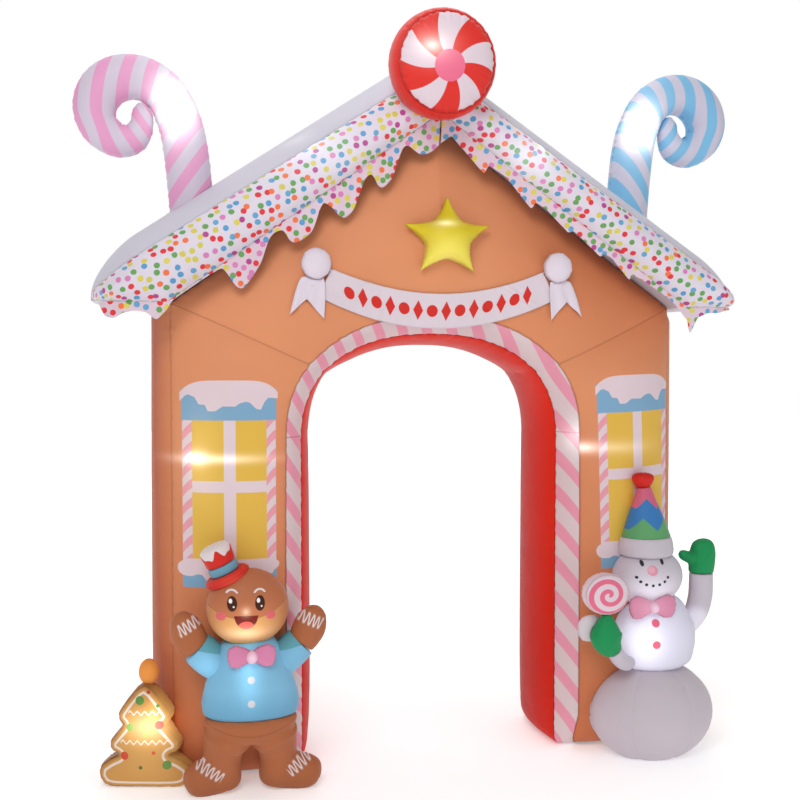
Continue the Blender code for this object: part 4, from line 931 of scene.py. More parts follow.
def flap_grid(side, hem_points):
    """Points of a flap: it hangs from the slab's lower seam by the hem's smoothed length."""
    x = np.linspace(0.003, FLAP_END, 460)
    drop = np.interp(x, *np.array(hem_points).T)
    for _ in range(14 if side < 0 else 5):
        drop[1:-1] = (drop[:-2] + 2 * drop[1:-1] + drop[2:]) / 4
    share = np.linspace(0.0, 1.0, 16)[None, :]
    top = np.minimum(underside_at(x), slab_low_at(x)) + 0.003
    z = top[:, None] - drop[:, None] * share
    fold = 0.0035 * (ripple(x, 0.062, side)[:, None] - 0.5) * np.minimum(1.0, 2 * share)
    y = slab_front_at(x)[:, None] - 0.001 + 0.16 * (top[:, None] - z) + fold
    return np.stack((np.broadcast_to(side * x[:, None], z.shape), y, z), -1)


flap_cloth = Finish("flap_cloth", (222, 200, 212), 0.52)
sprinkle(flap_cloth, flap_cloth.x, flap_cloth.z, spacing=0.0310)
flap_cloth.done()
for word, side in SIDES:
    grid = flap_grid(side, HEMS[word])
    x_map = np.abs(grid[..., 0])
    flap = skin("flap_" + word, grid, facing=(0, -1, 0),
                cloth_map=np.stack((grid[:, :1, 2] - grid[..., 2], x_map * 1.22 + side), -1))
    flat, area = sheet_size(flap, grid, by_top=True)
    press(flap, house, gap=0.0034)
    thicken(flap)
    dress(flap, flap_cloth.material, "sprinkle_cloth", "drip_" + word, fill=None)


# %% [markdown]
# ## Round pieces
# A tube is a run of ellipses along a path, a ball is a turned half circle, and a pillow is two
# faces sewn round one outline. A pillow's height is the square root of a soap film's, worked out
# by averaging on a fine net, so that arms and corners fill the way air fills them.

# %% Tubes, balls and pillows
GUSSET_STEPS = 7   # rows of faces in the wall between a pillow's two faces


def tube_grid(rows, count, sides):
    """Ellipses along a smooth path through rows of x, y, z, half width and half depth."""
    rows = np.asarray(rows, float)
    fine = through(np.linspace(0, len(rows) - 1, count), np.arange(len(rows)), rows)
    fine[:, 3:] = np.maximum(fine[:, 3:], 0.002)
    along = np.gradient(fine[:, :3], axis=0)
    along /= np.linalg.norm(along, axis=1, keepdims=True)
    deep = np.array((0.0, 1.0, 0.0)) - along * along[:, 1:2]
    deep /= np.linalg.norm(deep, axis=1, keepdims=True)
    wide = np.cross(along, deep)
    turn = np.arange(sides) * 2 * pi / sides
    across = np.cos(turn)[None, :, None] * wide[:, None] * fine[:, 3][:, None, None]
    ahead = np.sin(turn)[None, :, None] * deep[:, None] * fine[:, 4][:, None, None]
    return fine[:, None, :3] + across + ahead


def side_seams_of(grid):
    """How far each point of a tube lies round it, along it, and from its two side seams."""
    looped = steps_of(np.concatenate((grid, grid[:, :1]), axis=1), 1)
    around, half = looped[:, :-1], looped[:, -1:] / 2
    return around, steps_of(grid, 0), np.minimum(around % half, half - around % half)


def tube(name, rows, count, sides=48, side_seams=0.0, end_folds=(0.0, 0.0), wave=0.03,
         seed=0.0):
    """A closed tube, gathered along seams at its two sides and folded towards its two ends."""
    grid = tube_grid(rows, count, sides)
    around, along, from_seam = side_seams_of(grid)
    edge = np.full(grid.shape[:2], 1.0)
    if side_seams:
        edge = from_seam
        grid = gather(grid, edge, along, side_seams, 0.014, wave, seed)
    for depth, away in zip(end_folds, (along, along[-1:] - along)):
        if depth:
            grid = gather(grid, away + 0.004, around, depth, 0.024, wave * 0.8, seed + 1)
    return skin(name, grid, closed=True, seam=edge)


def ball(name, centre, radii, axis=2, gores=0, groove=0.0, folds=0.0, seed=0.0):
    """A round with its poles on an axis. Gores are seams from pole to pole, each a groove."""
    tilt = np.linspace(0.03, pi - 0.03, 64)[:, None]
    turn = (np.arange(96) * 2 * pi / 96)[None, :]
    parts = (np.sin(tilt) * np.cos(turn), np.sin(tilt) * np.sin(turn), np.cos(tilt) + 0 * turn)
    order = {1: (0, 2, 1), 2: (0, 1, 2)}[axis]
    unit = np.stack([parts[number] for number in order], -1)
    grid = np.asarray(centre) + unit * np.asarray(radii)
    edge = np.full(grid.shape[:2], 1.0)
    if gores:
        spread = (turn * gores / (2 * pi) + 0.5 + seed) % 1.0
        edge = np.abs(spread - 0.5) * 2 * pi / gores * np.sin(tilt) * max(radii)
        grid = grid - normals_of(grid) * (groove * np.exp(-edge / 0.012))[..., None]
        grid = gather(grid, edge, tilt * max(radii) + 0 * turn, groove * 0.8, 0.018, 0.034, seed)
    if folds:
        pole = np.minimum(tilt, pi - tilt) * max(radii) + 0 * turn
        around = turn * min(radii) + 0 * tilt
        grid = gather(grid, pole, around, folds, 0.03, min(radii) * 0.5, seed)
    pole = np.zeros(3)
    pole[axis] = radii[axis]
    return skin(name, grid, wrap=True, ends=(centre + pole, centre - pole), seam=edge)


def edge_distance(points, outline):
    """Distance of each point from a closed outline."""
    side = np.roll(outline, -1, axis=0) - outline
    offset = points[..., None, :] - outline
    share = np.clip((offset * side).sum(-1) / (side * side).sum(1), 0.0, 1.0)
    return np.linalg.norm(offset - share[..., None] * side, axis=-1).min(axis=-1)


def film_over(outline, net=0.0035, rounds=1400):
    """A soap film's height over an outline, 1 at its top: a function of points in the plane."""
    low, high = outline.min(0) - 3 * net, outline.max(0) + 3 * net
    a, b = np.meshgrid(np.arange(low[0], high[0], net), np.arange(low[1], high[1], net),
                       indexing="ij")
    start, end = outline[:, None, None], np.roll(outline, -1, axis=0)[:, None, None]
    rise = np.where(np.abs(end[..., 1] - start[..., 1]) < 1e-9, 1e-9, end[..., 1] - start[..., 1])
    cross = start[..., 0] + (b - start[..., 1]) / rise * (end[..., 0] - start[..., 0])
    hits = ((start[..., 1] > b) != (end[..., 1] > b)) & (a < cross)
    inner = hits.sum(0) % 2 == 1
    film = np.zeros_like(a)
    for _ in range(rounds):
        around = film[2:, 1:-1] + film[:-2, 1:-1] + film[1:-1, 2:] + film[1:-1, :-2]
        film[1:-1, 1:-1] = (around / 4 + 1.0) * inner[1:-1, 1:-1]
    film /= film.max()

    def height(points):
        place = np.clip((points - low) / net, 0.0, np.array(film.shape) - 1.001)
        cell, part = place.astype(int), place % 1.0
        i, j = cell[..., 0], cell[..., 1]
        u, v = part[..., 0], part[..., 1]
        return (film[i, j] * (1 - u) * (1 - v) + film[i + 1, j] * u * (1 - v)
                + film[i, j + 1] * (1 - u) * v + film[i + 1, j + 1] * u * v)

    return height


def finer(outline, steps, smooth):
    """A closed outline with steps points along each side, its corners averaged a few times."""
    outline = np.asarray(outline, float)
    share = (np.arange(steps) / steps)[None, :, None]
    dense = (outline[:, None] * (1 - share) + np.roll(outline, -1, axis=0)[:, None] * share)
    dense = dense.reshape(-1, 2)
    for _ in range(smooth):
        dense = (np.roll(dense, 1, axis=0) + 2 * dense + np.roll(dense, -1, axis=0)) / 4
    return dense


def oval(wide, tall):
    """A closed oval outline."""
    around = np.arange(120) * 2 * pi / 120
    return np.column_stack((wide * np.cos(around), tall * np.sin(around)))


def pillow(name, outline, half_depth, place, centre=(0.0, 0.0), gusset=0.0, yaw=0.0, rings=26,
           folds=0.003, wave=0.026, rim=0.0, seed=0.0):
    """Two faces on an outline in X and Z, with a wall of gusset depth between their seams. The
    mesh carries each point's own flat place, for prints."""
    centre = np.asarray(centre, float)
    shares = np.sin(np.linspace(0.03, 1.0, rings) * pi / 2)
    flat = centre + (outline - centre) * shares[:, None, None]
    height = film_over(outline)(flat)
    height[-1] = 0.0
    rise = half_depth * np.sqrt(height)
    front = np.stack((flat[..., 0], -gusset / 2 - rise, flat[..., 1]), -1)
    flat_edge = edge_distance(flat, outline)
    layers = [(front, flat_edge, flat_edge)]
    for share in np.arange(1, GUSSET_STEPS) / GUSSET_STEPS if gusset else ():
        ring = centre + (outline - centre) * (1.0 + rim * 4 * share * (1 - share))
        level = np.full(len(ring), gusset * (share - 0.5))
        near = np.full((1, len(ring)), min(share, 1 - share) * gusset)
        layers.append((np.column_stack((ring[:, 0], level, ring[:, 1]))[None], near, 0 * near))
    first = 0 if gusset else 1
    back, back_edge = (front[::-1] * (1.0, -1.0, 1.0))[first:], flat_edge[::-1][first:]
    layers.append((back, back_edge, back_edge))
    grid, edge, inset = (np.concatenate(layer) for layer in zip(*layers))
    along = np.concatenate(([0.0], np.cumsum(np.linalg.norm(np.diff(outline, axis=0), axis=1))))
    flat_x, flat_z = grid[..., 0].copy(), grid[..., 2].copy()
    grid = gather(grid, edge, along[None, :] + 0 * edge, folds, 0.016, wave, seed)
    x, y, yaw = grid[..., 0], grid[..., 1], radians(yaw)
    x, y = x * cos(yaw) - y * sin(yaw), x * sin(yaw) + y * cos(yaw)
    grid = np.stack((x, y, grid[..., 2]), -1) + np.asarray(place)
    return skin(name, grid, closed=True, seam=edge,
                fields={"flat_x": flat_x, "flat_z": flat_z, "inset": inset})


# %% [markdown]
# ## The round sweet on the apex
# Two domed faces and a rim, as a turned profile. The seams pucker, so the gathers run round it.
# The swirl is a print: the angle about the face's middle, turned further the further out it is.

# %% Sweet
SWEET_PLACE, SWEET_TILT = np.array((-0.024, -0.236, 2.508)), 8.0
SWEET_SEAM, SWEET_WIDEST, SWEET_HALF_RIM, SWEET_FACE = 0.168, 0.186, 0.062, 0.048
dome = np.radians(np.linspace(88.5, 3.0, 26))
rim = np.radians(np.linspace(90.0, -90.0, 26))
face_radius, face_height = SWEET_SEAM * np.cos(dome), SWEET_HALF_RIM + SWEET_FACE * np.sin(dome)
rim_radius = SWEET_SEAM + (SWEET_WIDEST - SWEET_SEAM) * np.cos(rim)
radius = np.concatenate((face_radius, rim_radius, face_radius[::-1]))
height = np.concatenate((face_height, SWEET_HALF_RIM * np.sin(rim), -face_height[::-1]))
turn = np.arange(220) * 2 * pi / 220
local = np.stack((radius[:, None] * np.cos(turn), radius[:, None] * np.sin(turn),
                  height[:, None] + 0 * turn), -1)
away = np.hypot(radius - SWEET_SEAM, np.abs(height) - SWEET_HALF_RIM)
away = np.where(radius < SWEET_SEAM, SWEET_SEAM - radius, away)[:, None] + 0 * turn
local = gather(local, away, turn * SWEET_SEAM + 0 * away, 0.0075, 0.020, 0.033, seed=4.0)
lean = radians(90 + SWEET_TILT)
frame_of_sweet = np.array(((1, 0, 0), (0, cos(lean), sin(lean)), (0, -sin(lean), cos(lean))))
poles = np.array(((0, 0, 1), (0, 0, -1))) * (SWEET_HALF_RIM + SWEET_FACE)
sweet = skin("sweet", local @ frame_of_sweet + SWEET_PLACE, wrap=True, seam=away,
             ends=poles @ frame_of_sweet + SWEET_PLACE,
             fields={"right": local[..., 0], "up": local[..., 1],
                     "ring": radius[:, None] + 0 * turn})
press(sweet, roof["left"], roof["right"])
sweet_cloth = Finish("sweet_swirl", (224, 52, 44), 0.36)
right, up = sweet_cloth.field("right"), sweet_cloth.field("up") + 0.014
spoke = (right * right + up * up) ** 0.5
swirl = (up.angle(right) - radians(101.0) + (spoke - 0.05).high(0.0) ** 1.4 * 5.6) / radians(72.0)
blade = (0.25 - abs((swirl + 0.5).part() - 0.5)) * spoke
on_face = (SWEET_SEAM - 0.004 - sweet_cloth.field("ring")).inside(0.001)
sweet_cloth.print_or_painted_light((226, 208, 217), blade.inside(0.0010) * on_face)
sweet_cloth.print_or_painted_light((236, 112, 144), (0.0525 - spoke).inside())
sweet_cloth.lamp((-0.088, -0.345, 2.540), 0.016, WHITE_LIGHT, (1.9, 2.0, 1.3), 1.5, 1.0)
sweet_cloth.lamp((-0.080, -0.345, 2.540), 0.055, (1.0, 0.72, 0.66), (1.3, 2.0, 1.0), 1.8, 0.34)
dress(sweet, sweet_cloth.done(), "sweet_red", "mint_sweet")

# %% [markdown]
# ## Candy canes
# A cane is sewn from a front and a back cut from striped cloth, so its stripes are a flat print:
# slanting on the stick, and nearly upright, bowed bands on the curl. Each point of the mesh
# carries the stripe's running number, and the finish only asks whether it is nearer odd or even.

# %% Canes
CANE_Y = 0.150
CANE_ROWS = np.array((   # outward and up from the stick's foot, half width
    (-0.006, -0.090, 0.082), (0.000, 0.000, 0.082), (0.014, 0.150, 0.082), (0.036, 0.262, 0.080),
    (0.084, 0.362, 0.077), (0.158, 0.415, 0.078), (0.240, 0.417, 0.081), (0.304, 0.377, 0.082),
    (0.333, 0.310, 0.078), (0.316, 0.240, 0.070), (0.256, 0.196, 0.061), (0.200, 0.206, 0.055),
    (0.172, 0.252, 0.044), (0.170, 0.300, 0.036), (0.168, 0.330, 0.018)))
CANE_COUNT, CANE_SIDES = 300, 48


def cane_stripes(out, up, share):
    """The stripe's number at a place on the cane, share being how far along it is."""
    stick = out / 0.100 + up / 0.140 - 0.621
    curl = 5.0 + (out + 0.92 * (up - 0.281) ** 2 - 0.241) / 0.0845
    fan = np.clip(0.2 + (0.32 - out) * 3.0, 0.2, 0.8)
    tip = 5.0 + (out + (0.281 - up) * fan - 0.253) / 0.066
    to_curl = np.clip((share - 0.24) / 0.10, 0.0, 1.0)
    to_tip = np.clip((share - 0.57) / 0.10, 0.0, 1.0)
    to_curl, to_tip = (blend * blend * (3 - 2 * blend) for blend in (to_curl, to_tip))
    return (stick * (1 - to_curl) + curl * to_curl) * (1 - to_tip) + tip * to_tip


def make_cane(name, foot, side, carrier):
    """A cane that stands on a slab. side is the way its curl turns."""
    rows = [(foot[0] + side * out, CANE_Y, foot[1] + up, half, half) for out, up, half in CANE_ROWS]
    grid = tube_grid(rows, CANE_COUNT, CANE_SIDES)
    out, up = (grid[..., 0] - foot[0]) * side, grid[..., 2] - foot[1]
    stripe = cane_stripes(out, up, np.linspace(0, 1, CANE_COUNT)[:, None])
    _, along, edge = side_seams_of(grid)
    grid = gather(grid, edge, along, 0.0085, 0.014, 0.034, seed=side)
    return press(skin(name, grid, closed=True, seam=edge, fields={"stripe": stripe}), carrier)


def cane_finish(name, colour, white, glow_at, squash):
    """Stripes of two colours, with a lamp inside the curl."""
    cloth = Finish(name, white, 0.48)
    odd = 0.25 - abs((cloth.field("stripe") + 0.5).part() - 0.5)
    cloth.print_or_painted_light(colour, odd.inside(0.010))
    cloth.lamp(glow_at, 0.084, (1.0, 1.0, 1.0), squash, 3.4, 0.9)
    cloth.lamp(glow_at, 0.130, (0.93, 0.95, 1.0), squash, 2.2, 0.25)
    return cloth.done(strength=1.0)


pink_cane = make_cane("pink_cane", (-0.866, 2.082), -1.0, roof["left"])
dress(pink_cane, cane_finish("pink_stripes", (230, 160, 200), (212, 200, 216),
                             (-0.918, 0.075, 2.395), (1.0, 0.62, 1.35)), "cane_pink", "cane_pink")
blue_cane = make_cane("blue_cane", (0.840, 2.128), 1.0, roof["right"])
dress(blue_cane, cane_finish("blue_stripes", (128, 190, 228), (206, 202, 220),
                             (0.850, 0.075, 2.405), (1.10, 0.62, 1.20)), "cane_blue", "cane_blue")

# %% [markdown]
# ## The star and the banner
# The star is a pillow, and its light sits in its lower half. The banner is a strip of cloth laid
# against the gable and the striped band between two knots. Its middle line sags as a parabola, and
# a row of red dots and lozenges is printed along it.

# %% Star
STAR_PLACE, STAR_RADII, STAR_DEPTH = (0.020, 1.927), (0.158, 0.078), 0.070
turns = pi / 2 + np.arange(10) * pi / 5
reach = np.where(np.arange(10) % 2 == 0, STAR_RADII[0], STAR_RADII[1])
tips = np.column_stack((reach * np.cos(turns) * 1.08, reach * np.sin(turns) * 0.95))
star_outline = finer(tips, 18, 2)
flank = np.tile(np.arange(18) / 18, 10)
star_outline *= (1.0 - 0.07 * np.sin(pi * flank))[:, None]
patch = [[(STAR_PLACE[0] + right, 0, STAR_PLACE[1] - fall) for right in (0.0, 0.001)]
         for fall in (0.0, 0.001)]
star_y = laid(patch, house, 0.012)[0, 0, 1]
star = pillow("gold_star", star_outline, STAR_DEPTH, (STAR_PLACE[0], star_y, STAR_PLACE[1]),
              folds=0.0022,
              wave=0.020, rings=30)
press(star, house)
star_cloth = Finish("star_yellow_cloth", (222, 198, 40), 0.34)
# Painted light: the star's lower half printed a paler yellow, where its lamp shines through.
lower = star_cloth.z.rise(1.955, 1.850)
star_cloth.print_or_painted_light((240, 226, 92), lower * 0.8)
star_cloth.lamp((0.000, -0.200, 1.972), 0.010, WHITE_LIGHT, (3.2, 3.0, 1.0), 1.6, 0.55)
star_cloth.lamp((0.008, -0.190, 1.872), 0.060, (1.0, 0.95, 0.45), (0.9, 2.0, 1.0), 2.0, 0.16)
dress(star, star_cloth.done(), "star_yellow", "star")

# %% Banner
KNOT_HALF_SPAN, KNOT_Z, KNOT_RADII = 0.446, 1.830, (0.054, 0.034, 0.056)
BANNER_SAG, BANNER_END_Z, BANNER_HALF_SPAN, BANNER_HALF_WIDTH = 0.096, 1.764, 0.415, (0.055, 0.062)
BANNER_RECEDE, DRAPE = 0.20, 0.0030


def banner_grid(columns=240, rows=24):
    """The middle line falls by sag·(1 - share²); each row is a place across the strip."""
    share = np.linspace(-1.0, 1.0, columns)
    x = share * BANNER_HALF_SPAN
    middle = BANNER_END_Z - BANNER_SAG * (1.0 - share ** 2)
    slope = BANNER_SAG * 2 * share / BANNER_HALF_SPAN
    half = BANNER_HALF_WIDTH[0] + (BANNER_HALF_WIDTH[1] - BANNER_HALF_WIDTH[0]) * (1.0 - share ** 2)
    length = np.sqrt(1.0 + slope ** 2)
    place = np.linspace(1.0, -1.0, rows)[:, None]
    lean = slope / length * half * place
    grid = np.stack((x - lean, 0 * lean, middle + half / length * place), -1)
    grid = laid(grid, house, SKIN_GAP + CLOTH * 1.5 + DRAPE)
    for row in range(1, rows):
        fall = grid[row - 1, :, 2] - grid[row, :, 2]
        grid[row, :, 1] = np.minimum(grid[row, :, 1], grid[row - 1, :, 1] + BANNER_RECEDE * fall)
    for _ in range(30):
        wide = np.pad(grid[..., 1], ((0, 0), (1, 1)), mode="edge")
        grid[..., 1] = np.minimum(grid[..., 1], (wide[:, 2:] + 2 * grid[..., 1] + wide[:, :-2]) / 4)
    slant = x[None, :] * 0.8 + grid[..., 2] * 0.9
    other = x[None, :] * -0.7 + grid[..., 2]
    crease = (np.exp(-((slant - 1.800) / 0.006) ** 2)
              + 0.8 * np.exp(-((slant - 1.775) / 0.005) ** 2)
              + 0.5 * np.exp(-((other - 1.955) / 0.006) ** 2))
    grid[..., 1] -= 0.0035 * crease + 0.0030 * ripple(x, 0.055, 1.3)[None, :] * (1 - place) / 2
    return grid


knots = {}
patch = [[(side * KNOT_HALF_SPAN, 0, KNOT_Z - fall) for side in (-1, 1)] for fall in (0.0, 0.001)]
knot_y = laid(patch, house, KNOT_RADII[1] * 0.75)[0, :, 1]
for (word, side), y in zip(SIDES, knot_y):
    knots[word] = pillow("knot_" + word, oval(KNOT_RADII[0], KNOT_RADII[2]), KNOT_RADII[1],
                         (side * KNOT_HALF_SPAN, y, KNOT_Z), folds=0.0026, wave=0.045, seed=side)
    press(knots[word], house)
grid = banner_grid()
arc = steps_of(grid, 1)
strip = np.linspace(0.060, -0.060, grid.shape[0])[:, None] + 0 * arc
banner_map = np.stack((arc - arc[:, -1:] / 2, strip), -1)
banner = skin("banner_strip", grid, facing=(0, -1, 0), cloth_map=banner_map)
flat, area = sheet_size(banner, grid)
press(banner, knots["left"], knots["right"], gap=0.0020)
thicken(banner)
ribbon = Finish("ribbon_white", (222, 208, 216), 0.55)
along, across = ribbon.sewn()
MOTIF_STEP = 0.052
cell = along / MOTIF_STEP
place = (cell.part() - 0.5) * MOTIF_STEP
second = ((cell * 0.5).part() - 0.5).inside(0.001)
disc = 0.0205 - (place * place + across * across) ** 0.5
lozenge = (1.0 - abs(place) / 0.0185 - abs(across) / 0.0340) * 0.016
red_print = disc.inside() * second + lozenge.inside() * (1.0 - second)
ribbon.print_or_painted_light((214, 50, 42), red_print * (0.364 - abs(along)).inside())
dress(banner, ribbon.done(), "banner_white", "banner", fill=None)
plain_ribbon = Finish("ribbon_plain", (226, 215, 226), 0.55)
plain_ribbon.done()
for word in ("left", "right"):
    dress(knots[word], plain_ribbon.material, "banner_white", "banner_knot_" + word, fill=0.8)

# %% Tails
TAIL_LENGTH, TAIL_HALF, TAIL_NOTCH = 0.140, (0.030, 0.060), 0.062


def tail_grid(side, rows=40, columns=28):
    """A tail hangs from its knot and widens to a forked end, in soft folds."""
    share, column = np.linspace(0, 1, rows)[:, None], np.linspace(-1, 1, columns)[None, :]
    half = TAIL_HALF[0] + (TAIL_HALF[1] - TAIL_HALF[0]) * share ** 0.35
    x = side * (KNOT_HALF_SPAN + 0.022 * share + 0.012) + column * half
    z = KNOT_Z - 0.046 - TAIL_LENGTH * share + TAIL_NOTCH * share ** 2 * (1.0 - np.abs(column)) \
        + 0.007 * share * side * column
    grid = laid(np.stack((x, 0 * x, z), -1), house, 0.0070)
    grid[..., 1] -= 0.0045 * np.cos(column * pi * 2.2 + side) * (0.3 + 0.7 * share) ** 1.2 + 0.004
    return grid


for word, side in SIDES:
    grid = tail_grid(side)
    tail = skin("tail_" + word, grid, facing=(0, -1, 0))
    flat, area = sheet_size(tail, grid)
    press(tail, knots[word], banner, gap=0.0016)
    thicken(tail)
    dress(tail, plain_ribbon.material, "banner_white", "banner_tail_" + word, fill=None)


# %% [markdown]
# ## Shapes and prints that both figures share
# Both figures are made of the same few things: upright bodies, bent limbs, a bow and small printed
# shapes. A body with limbs that merge, like the legs or a mitten with its thumb, can't be one
# tube, so its tubes are joined by a voxel remesh, and Cloth with air pressure and no gravity then
# swells the joints the way a real filled leg swells at the hip.

# %% Merged and swollen bodies
AIR_PRESSURE, AIR_FRAMES, VOXEL = 4.0, 20, 0.005


def swollen(name, tubes, limit=0.006):
    """Tubes as one skin, blown up by a pressure simulation. No point moves more than the limit."""
    merged = bmesh.new()
    for part in tubes:
        merged.from_mesh(part.data)
    mesh = bpy.data.meshes.new(name)
    merged.to_mesh(mesh)
    merged.free()
    for part in tubes:
        bpy.data.objects.remove(part)
    piece = bpy.data.objects.new(name, mesh)
    bpy.context.scene.collection.objects.link(piece)
    remesh = piece.modifiers.new("one skin", "REMESH")
    remesh.mode, remesh.voxel_size = "VOXEL", VOXEL
    soften = piece.modifiers.new("soften", "SMOOTH")
    soften.factor, soften.iterations = 0.5, 8
    applied(piece)
    start = points_of(piece)
    air = piece.modifiers.new("air", "CLOTH")
    air.settings.quality = 5
    air.settings.use_pressure = True
    air.settings.uniform_pressure_force = AIR_PRESSURE
    air.settings.effector_weights.gravity = 0.0
    air.point_cache.frame_start, air.point_cache.frame_end = 1, AIR_FRAMES
    for number in range(1, AIR_FRAMES + 1):
        bpy.context.scene.frame_set(number)
    applied(piece)
    bpy.context.scene.frame_set(1)
    move = points_of(piece) - start
    size = np.linalg.norm(move, axis=1, keepdims=True)
    move_points(piece, start + move * np.minimum(1.0, limit / np.maximum(size, 1e-9)))
    print(name, "swelled by up to", round(float(size.max()) * 1000, 1), "mm before the limit")
    finer_skin = piece.modifiers.new("finer", "SUBSURF")
    finer_skin.levels = finer_skin.render_levels = 1
    applied(piece)
    piece.data.shade_smooth()
    return piece


def upright(rows, x, y):
    """Rows of height, half widths and offsets as rows of a tube."""
    return [(x + dx, y + dy, z, half, deep) for z, half, deep, dx, dy in rows]


# %% Small printed shapes
def spot(finish, x, z, wide, tall=None):
    """Metres inside an ellipse in the front plane: (1 - distance as a share of it) x radius."""
    tall = tall or wide
    u, w = (finish.x - x) * (1.0 / wide), (finish.z - z) * (1.0 / tall)
    return (1.0 - (u * u + w * w) ** 0.5) * min(wide, tall)


def icing_wave(finish, x, z, tilt, length, wave, height, half):
    """Metres inside a line of icing that runs as a sine along a tilted course."""
    u, w = finish.turned(x, z, tilt)
    turn = u * (2 * pi / wave)
    slope = (turn + pi / 2).sine() * (height * pi / wave)
    away = abs(w - turn.sine() * (height / 2)) / (slope * slope + 1.0) ** 0.5
    return (half - away).low(length / 2 - abs(u))


def stamp(finish, colour, metres, where):
    """Print a shape, given as metres inside it, where a second mask allows."""
    finish.print_or_painted_light(colour, metres.inside() * where)


# %% Bows
BOW_OUTLINE = ((0.000, 0.018), (0.024, 0.032), (0.054, 0.041), (0.078, 0.030), (0.083, 0.008),
               (0.080, -0.014), (0.070, -0.034), (0.046, -0.038), (0.022, -0.026), (0.000, -0.016))
BOW_DEPTH, BOW_KNOT = 0.018, (0.019, 0.020, 0.021)
bow_outline = list(BOW_OUTLINE) + [(-x, z) for x, z in BOW_OUTLINE[-2:0:-1]]


def make_bow(prefix, x, y, z, size, colour, glow, *carriers):
    """A filled bow, pinched towards its knot, and the knot over it."""
    outline = finer(bow_outline, 8, 3) * size
    outline = np.roll(outline, -len(outline) // 4, axis=0)
    bow = pillow(prefix + "_bow_tie", outline, BOW_DEPTH, (x, y, z), folds=0.0016, wave=0.016,
                 rings=20)
    points = points_of(bow) - HOME - (x, y, z)
    toward = np.exp(-np.abs(points[:, 0]) / 0.022)
    crease = np.cos(points[:, 2] / 0.0065) * 0.0022 * toward * np.sign(points[:, 1])
    points[:, 1] += crease
    move_points(bow, points + HOME + (x, y, z))
    press(bow, *carriers)
    cloth = Finish(prefix + "_bow_pink", colour, 0.46)
    if glow:
        cloth.lamp((x - 0.01, y, z + 0.005), 0.050, (1.0, 0.86, 0.90), (1.1, 2.0, 0.8), 1.8, glow)
    dress(bow, cloth.done(), "bow_pink", prefix + "_bow", fill=0.9)
    knot = ball(prefix + "_bow_band", np.array((x, y - 0.014, z)), BOW_KNOT, axis=1, folds=0.001)
    press(knot, bow, carriers[0], gap=0.0004)
    band = Finish(prefix + "_bow_knot_pink", (232, 184, 208), 0.46)
    band.lamp((x, y - 0.020, z), 0.016, (1.0, 0.90, 0.95), (1.0, 2.0, 1.0), 2.0, 0.30)
    dress(knot, band.done(seams=0.0), "bow_knot", prefix + "_bow_knot", fill=0.9)


# %% [markdown]
# ## The gingerbread man
# He stands before the left leg, arms up, in a blue vest. His face is a simple friendly one: oval
# eyes with a highlight, brows, round cheeks and an open smile, all of it print, as on the real
# cloth. A light inside turns the lower half of the head golden, and that glow is painted light.

# %% His body
MAN_X, MAN_Y = -0.690, -0.178
HIP_X = MAN_X + 0.004
VEST_ROWS = ((0.268, 0.110, 0.060, 0.004, 0.0), (0.278, 0.150, 0.086, 0.004, 0.0),
             (0.296, 0.165, 0.100, 0.004, 0.0), (0.340, 0.166, 0.105, 0.003, 0.0),
             (0.390, 0.153, 0.104, 0.001, 0.0), (0.450, 0.132, 0.098, 0.000, 0.0),
             (0.502, 0.112, 0.086, -0.002, 0.0), (0.534, 0.090, 0.070, -0.003, 0.0),
             (0.548, 0.060, 0.046, -0.004, 0.0))
HIP_ROWS = ((0.216, 0.070, 0.046, 0.0, 0.020), (0.226, 0.124, 0.074, 0.0, 0.012),
            (0.248, 0.156, 0.090, 0.0, 0.000), (0.272, 0.156, 0.088, 0.0, 0.000),
            (0.296, 0.120, 0.060, 0.0, 0.000))
LEG_CENTRE = 0.096
LEG_ROWS = ((0.016, 0.044, 0.053), (0.034, 0.0650, 0.050), (0.120, 0.066, 0.036),
            (0.176, 0.074, 0.022), (0.216, 0.086, 0.010), (0.272, 0.056, 0.004))
LEG_WIDTH = 0.066   # a leg wider than this grows towards the other one
FOOT_REACH = {-1: 1.10, 1: 1.28}   # the right foot is turned out further
FOOT_ROWS = ((-0.044, 0.024, 0.048, 0.026, 0.026), (-0.030, 0.018, 0.050, 0.048, 0.046),
             (0.000, 0.004, 0.052, 0.062, 0.058), (0.038, -0.014, 0.052, 0.066, 0.058),
             (0.074, -0.030, 0.054, 0.062, 0.054), (0.102, -0.042, 0.056, 0.045, 0.041),
             (0.114, -0.048, 0.056, 0.022, 0.022))
vest = tube("vest", upright(VEST_ROWS, MAN_X, MAN_Y), 70, 64, side_seams=0.003,
            end_folds=(0.0025, 0.005),
            wave=0.034, seed=0.4)
press(vest, house)
tubes = [tube("hips", upright(HIP_ROWS, HIP_X, MAN_Y), 30)]
for side in (-1, 1):
    x = HIP_X + side * LEG_CENTRE
    rows = [(x - side * max(half - LEG_WIDTH, 0.0), MAN_Y + back, z, half, half)
            for z, half, back in LEG_ROWS]
    tubes.append(tube("leg", rows, 40))
    rows = [(x + side * out * FOOT_REACH[side], MAN_Y + LEG_ROWS[0][2] + ahead, z, half, deep)
            for out, ahead, z, half, deep in FOOT_ROWS]
    tubes.append(tube("foot", rows, 40))
legs = on_floor(press(on_floor(swollen("legs", tubes)), house, vest))

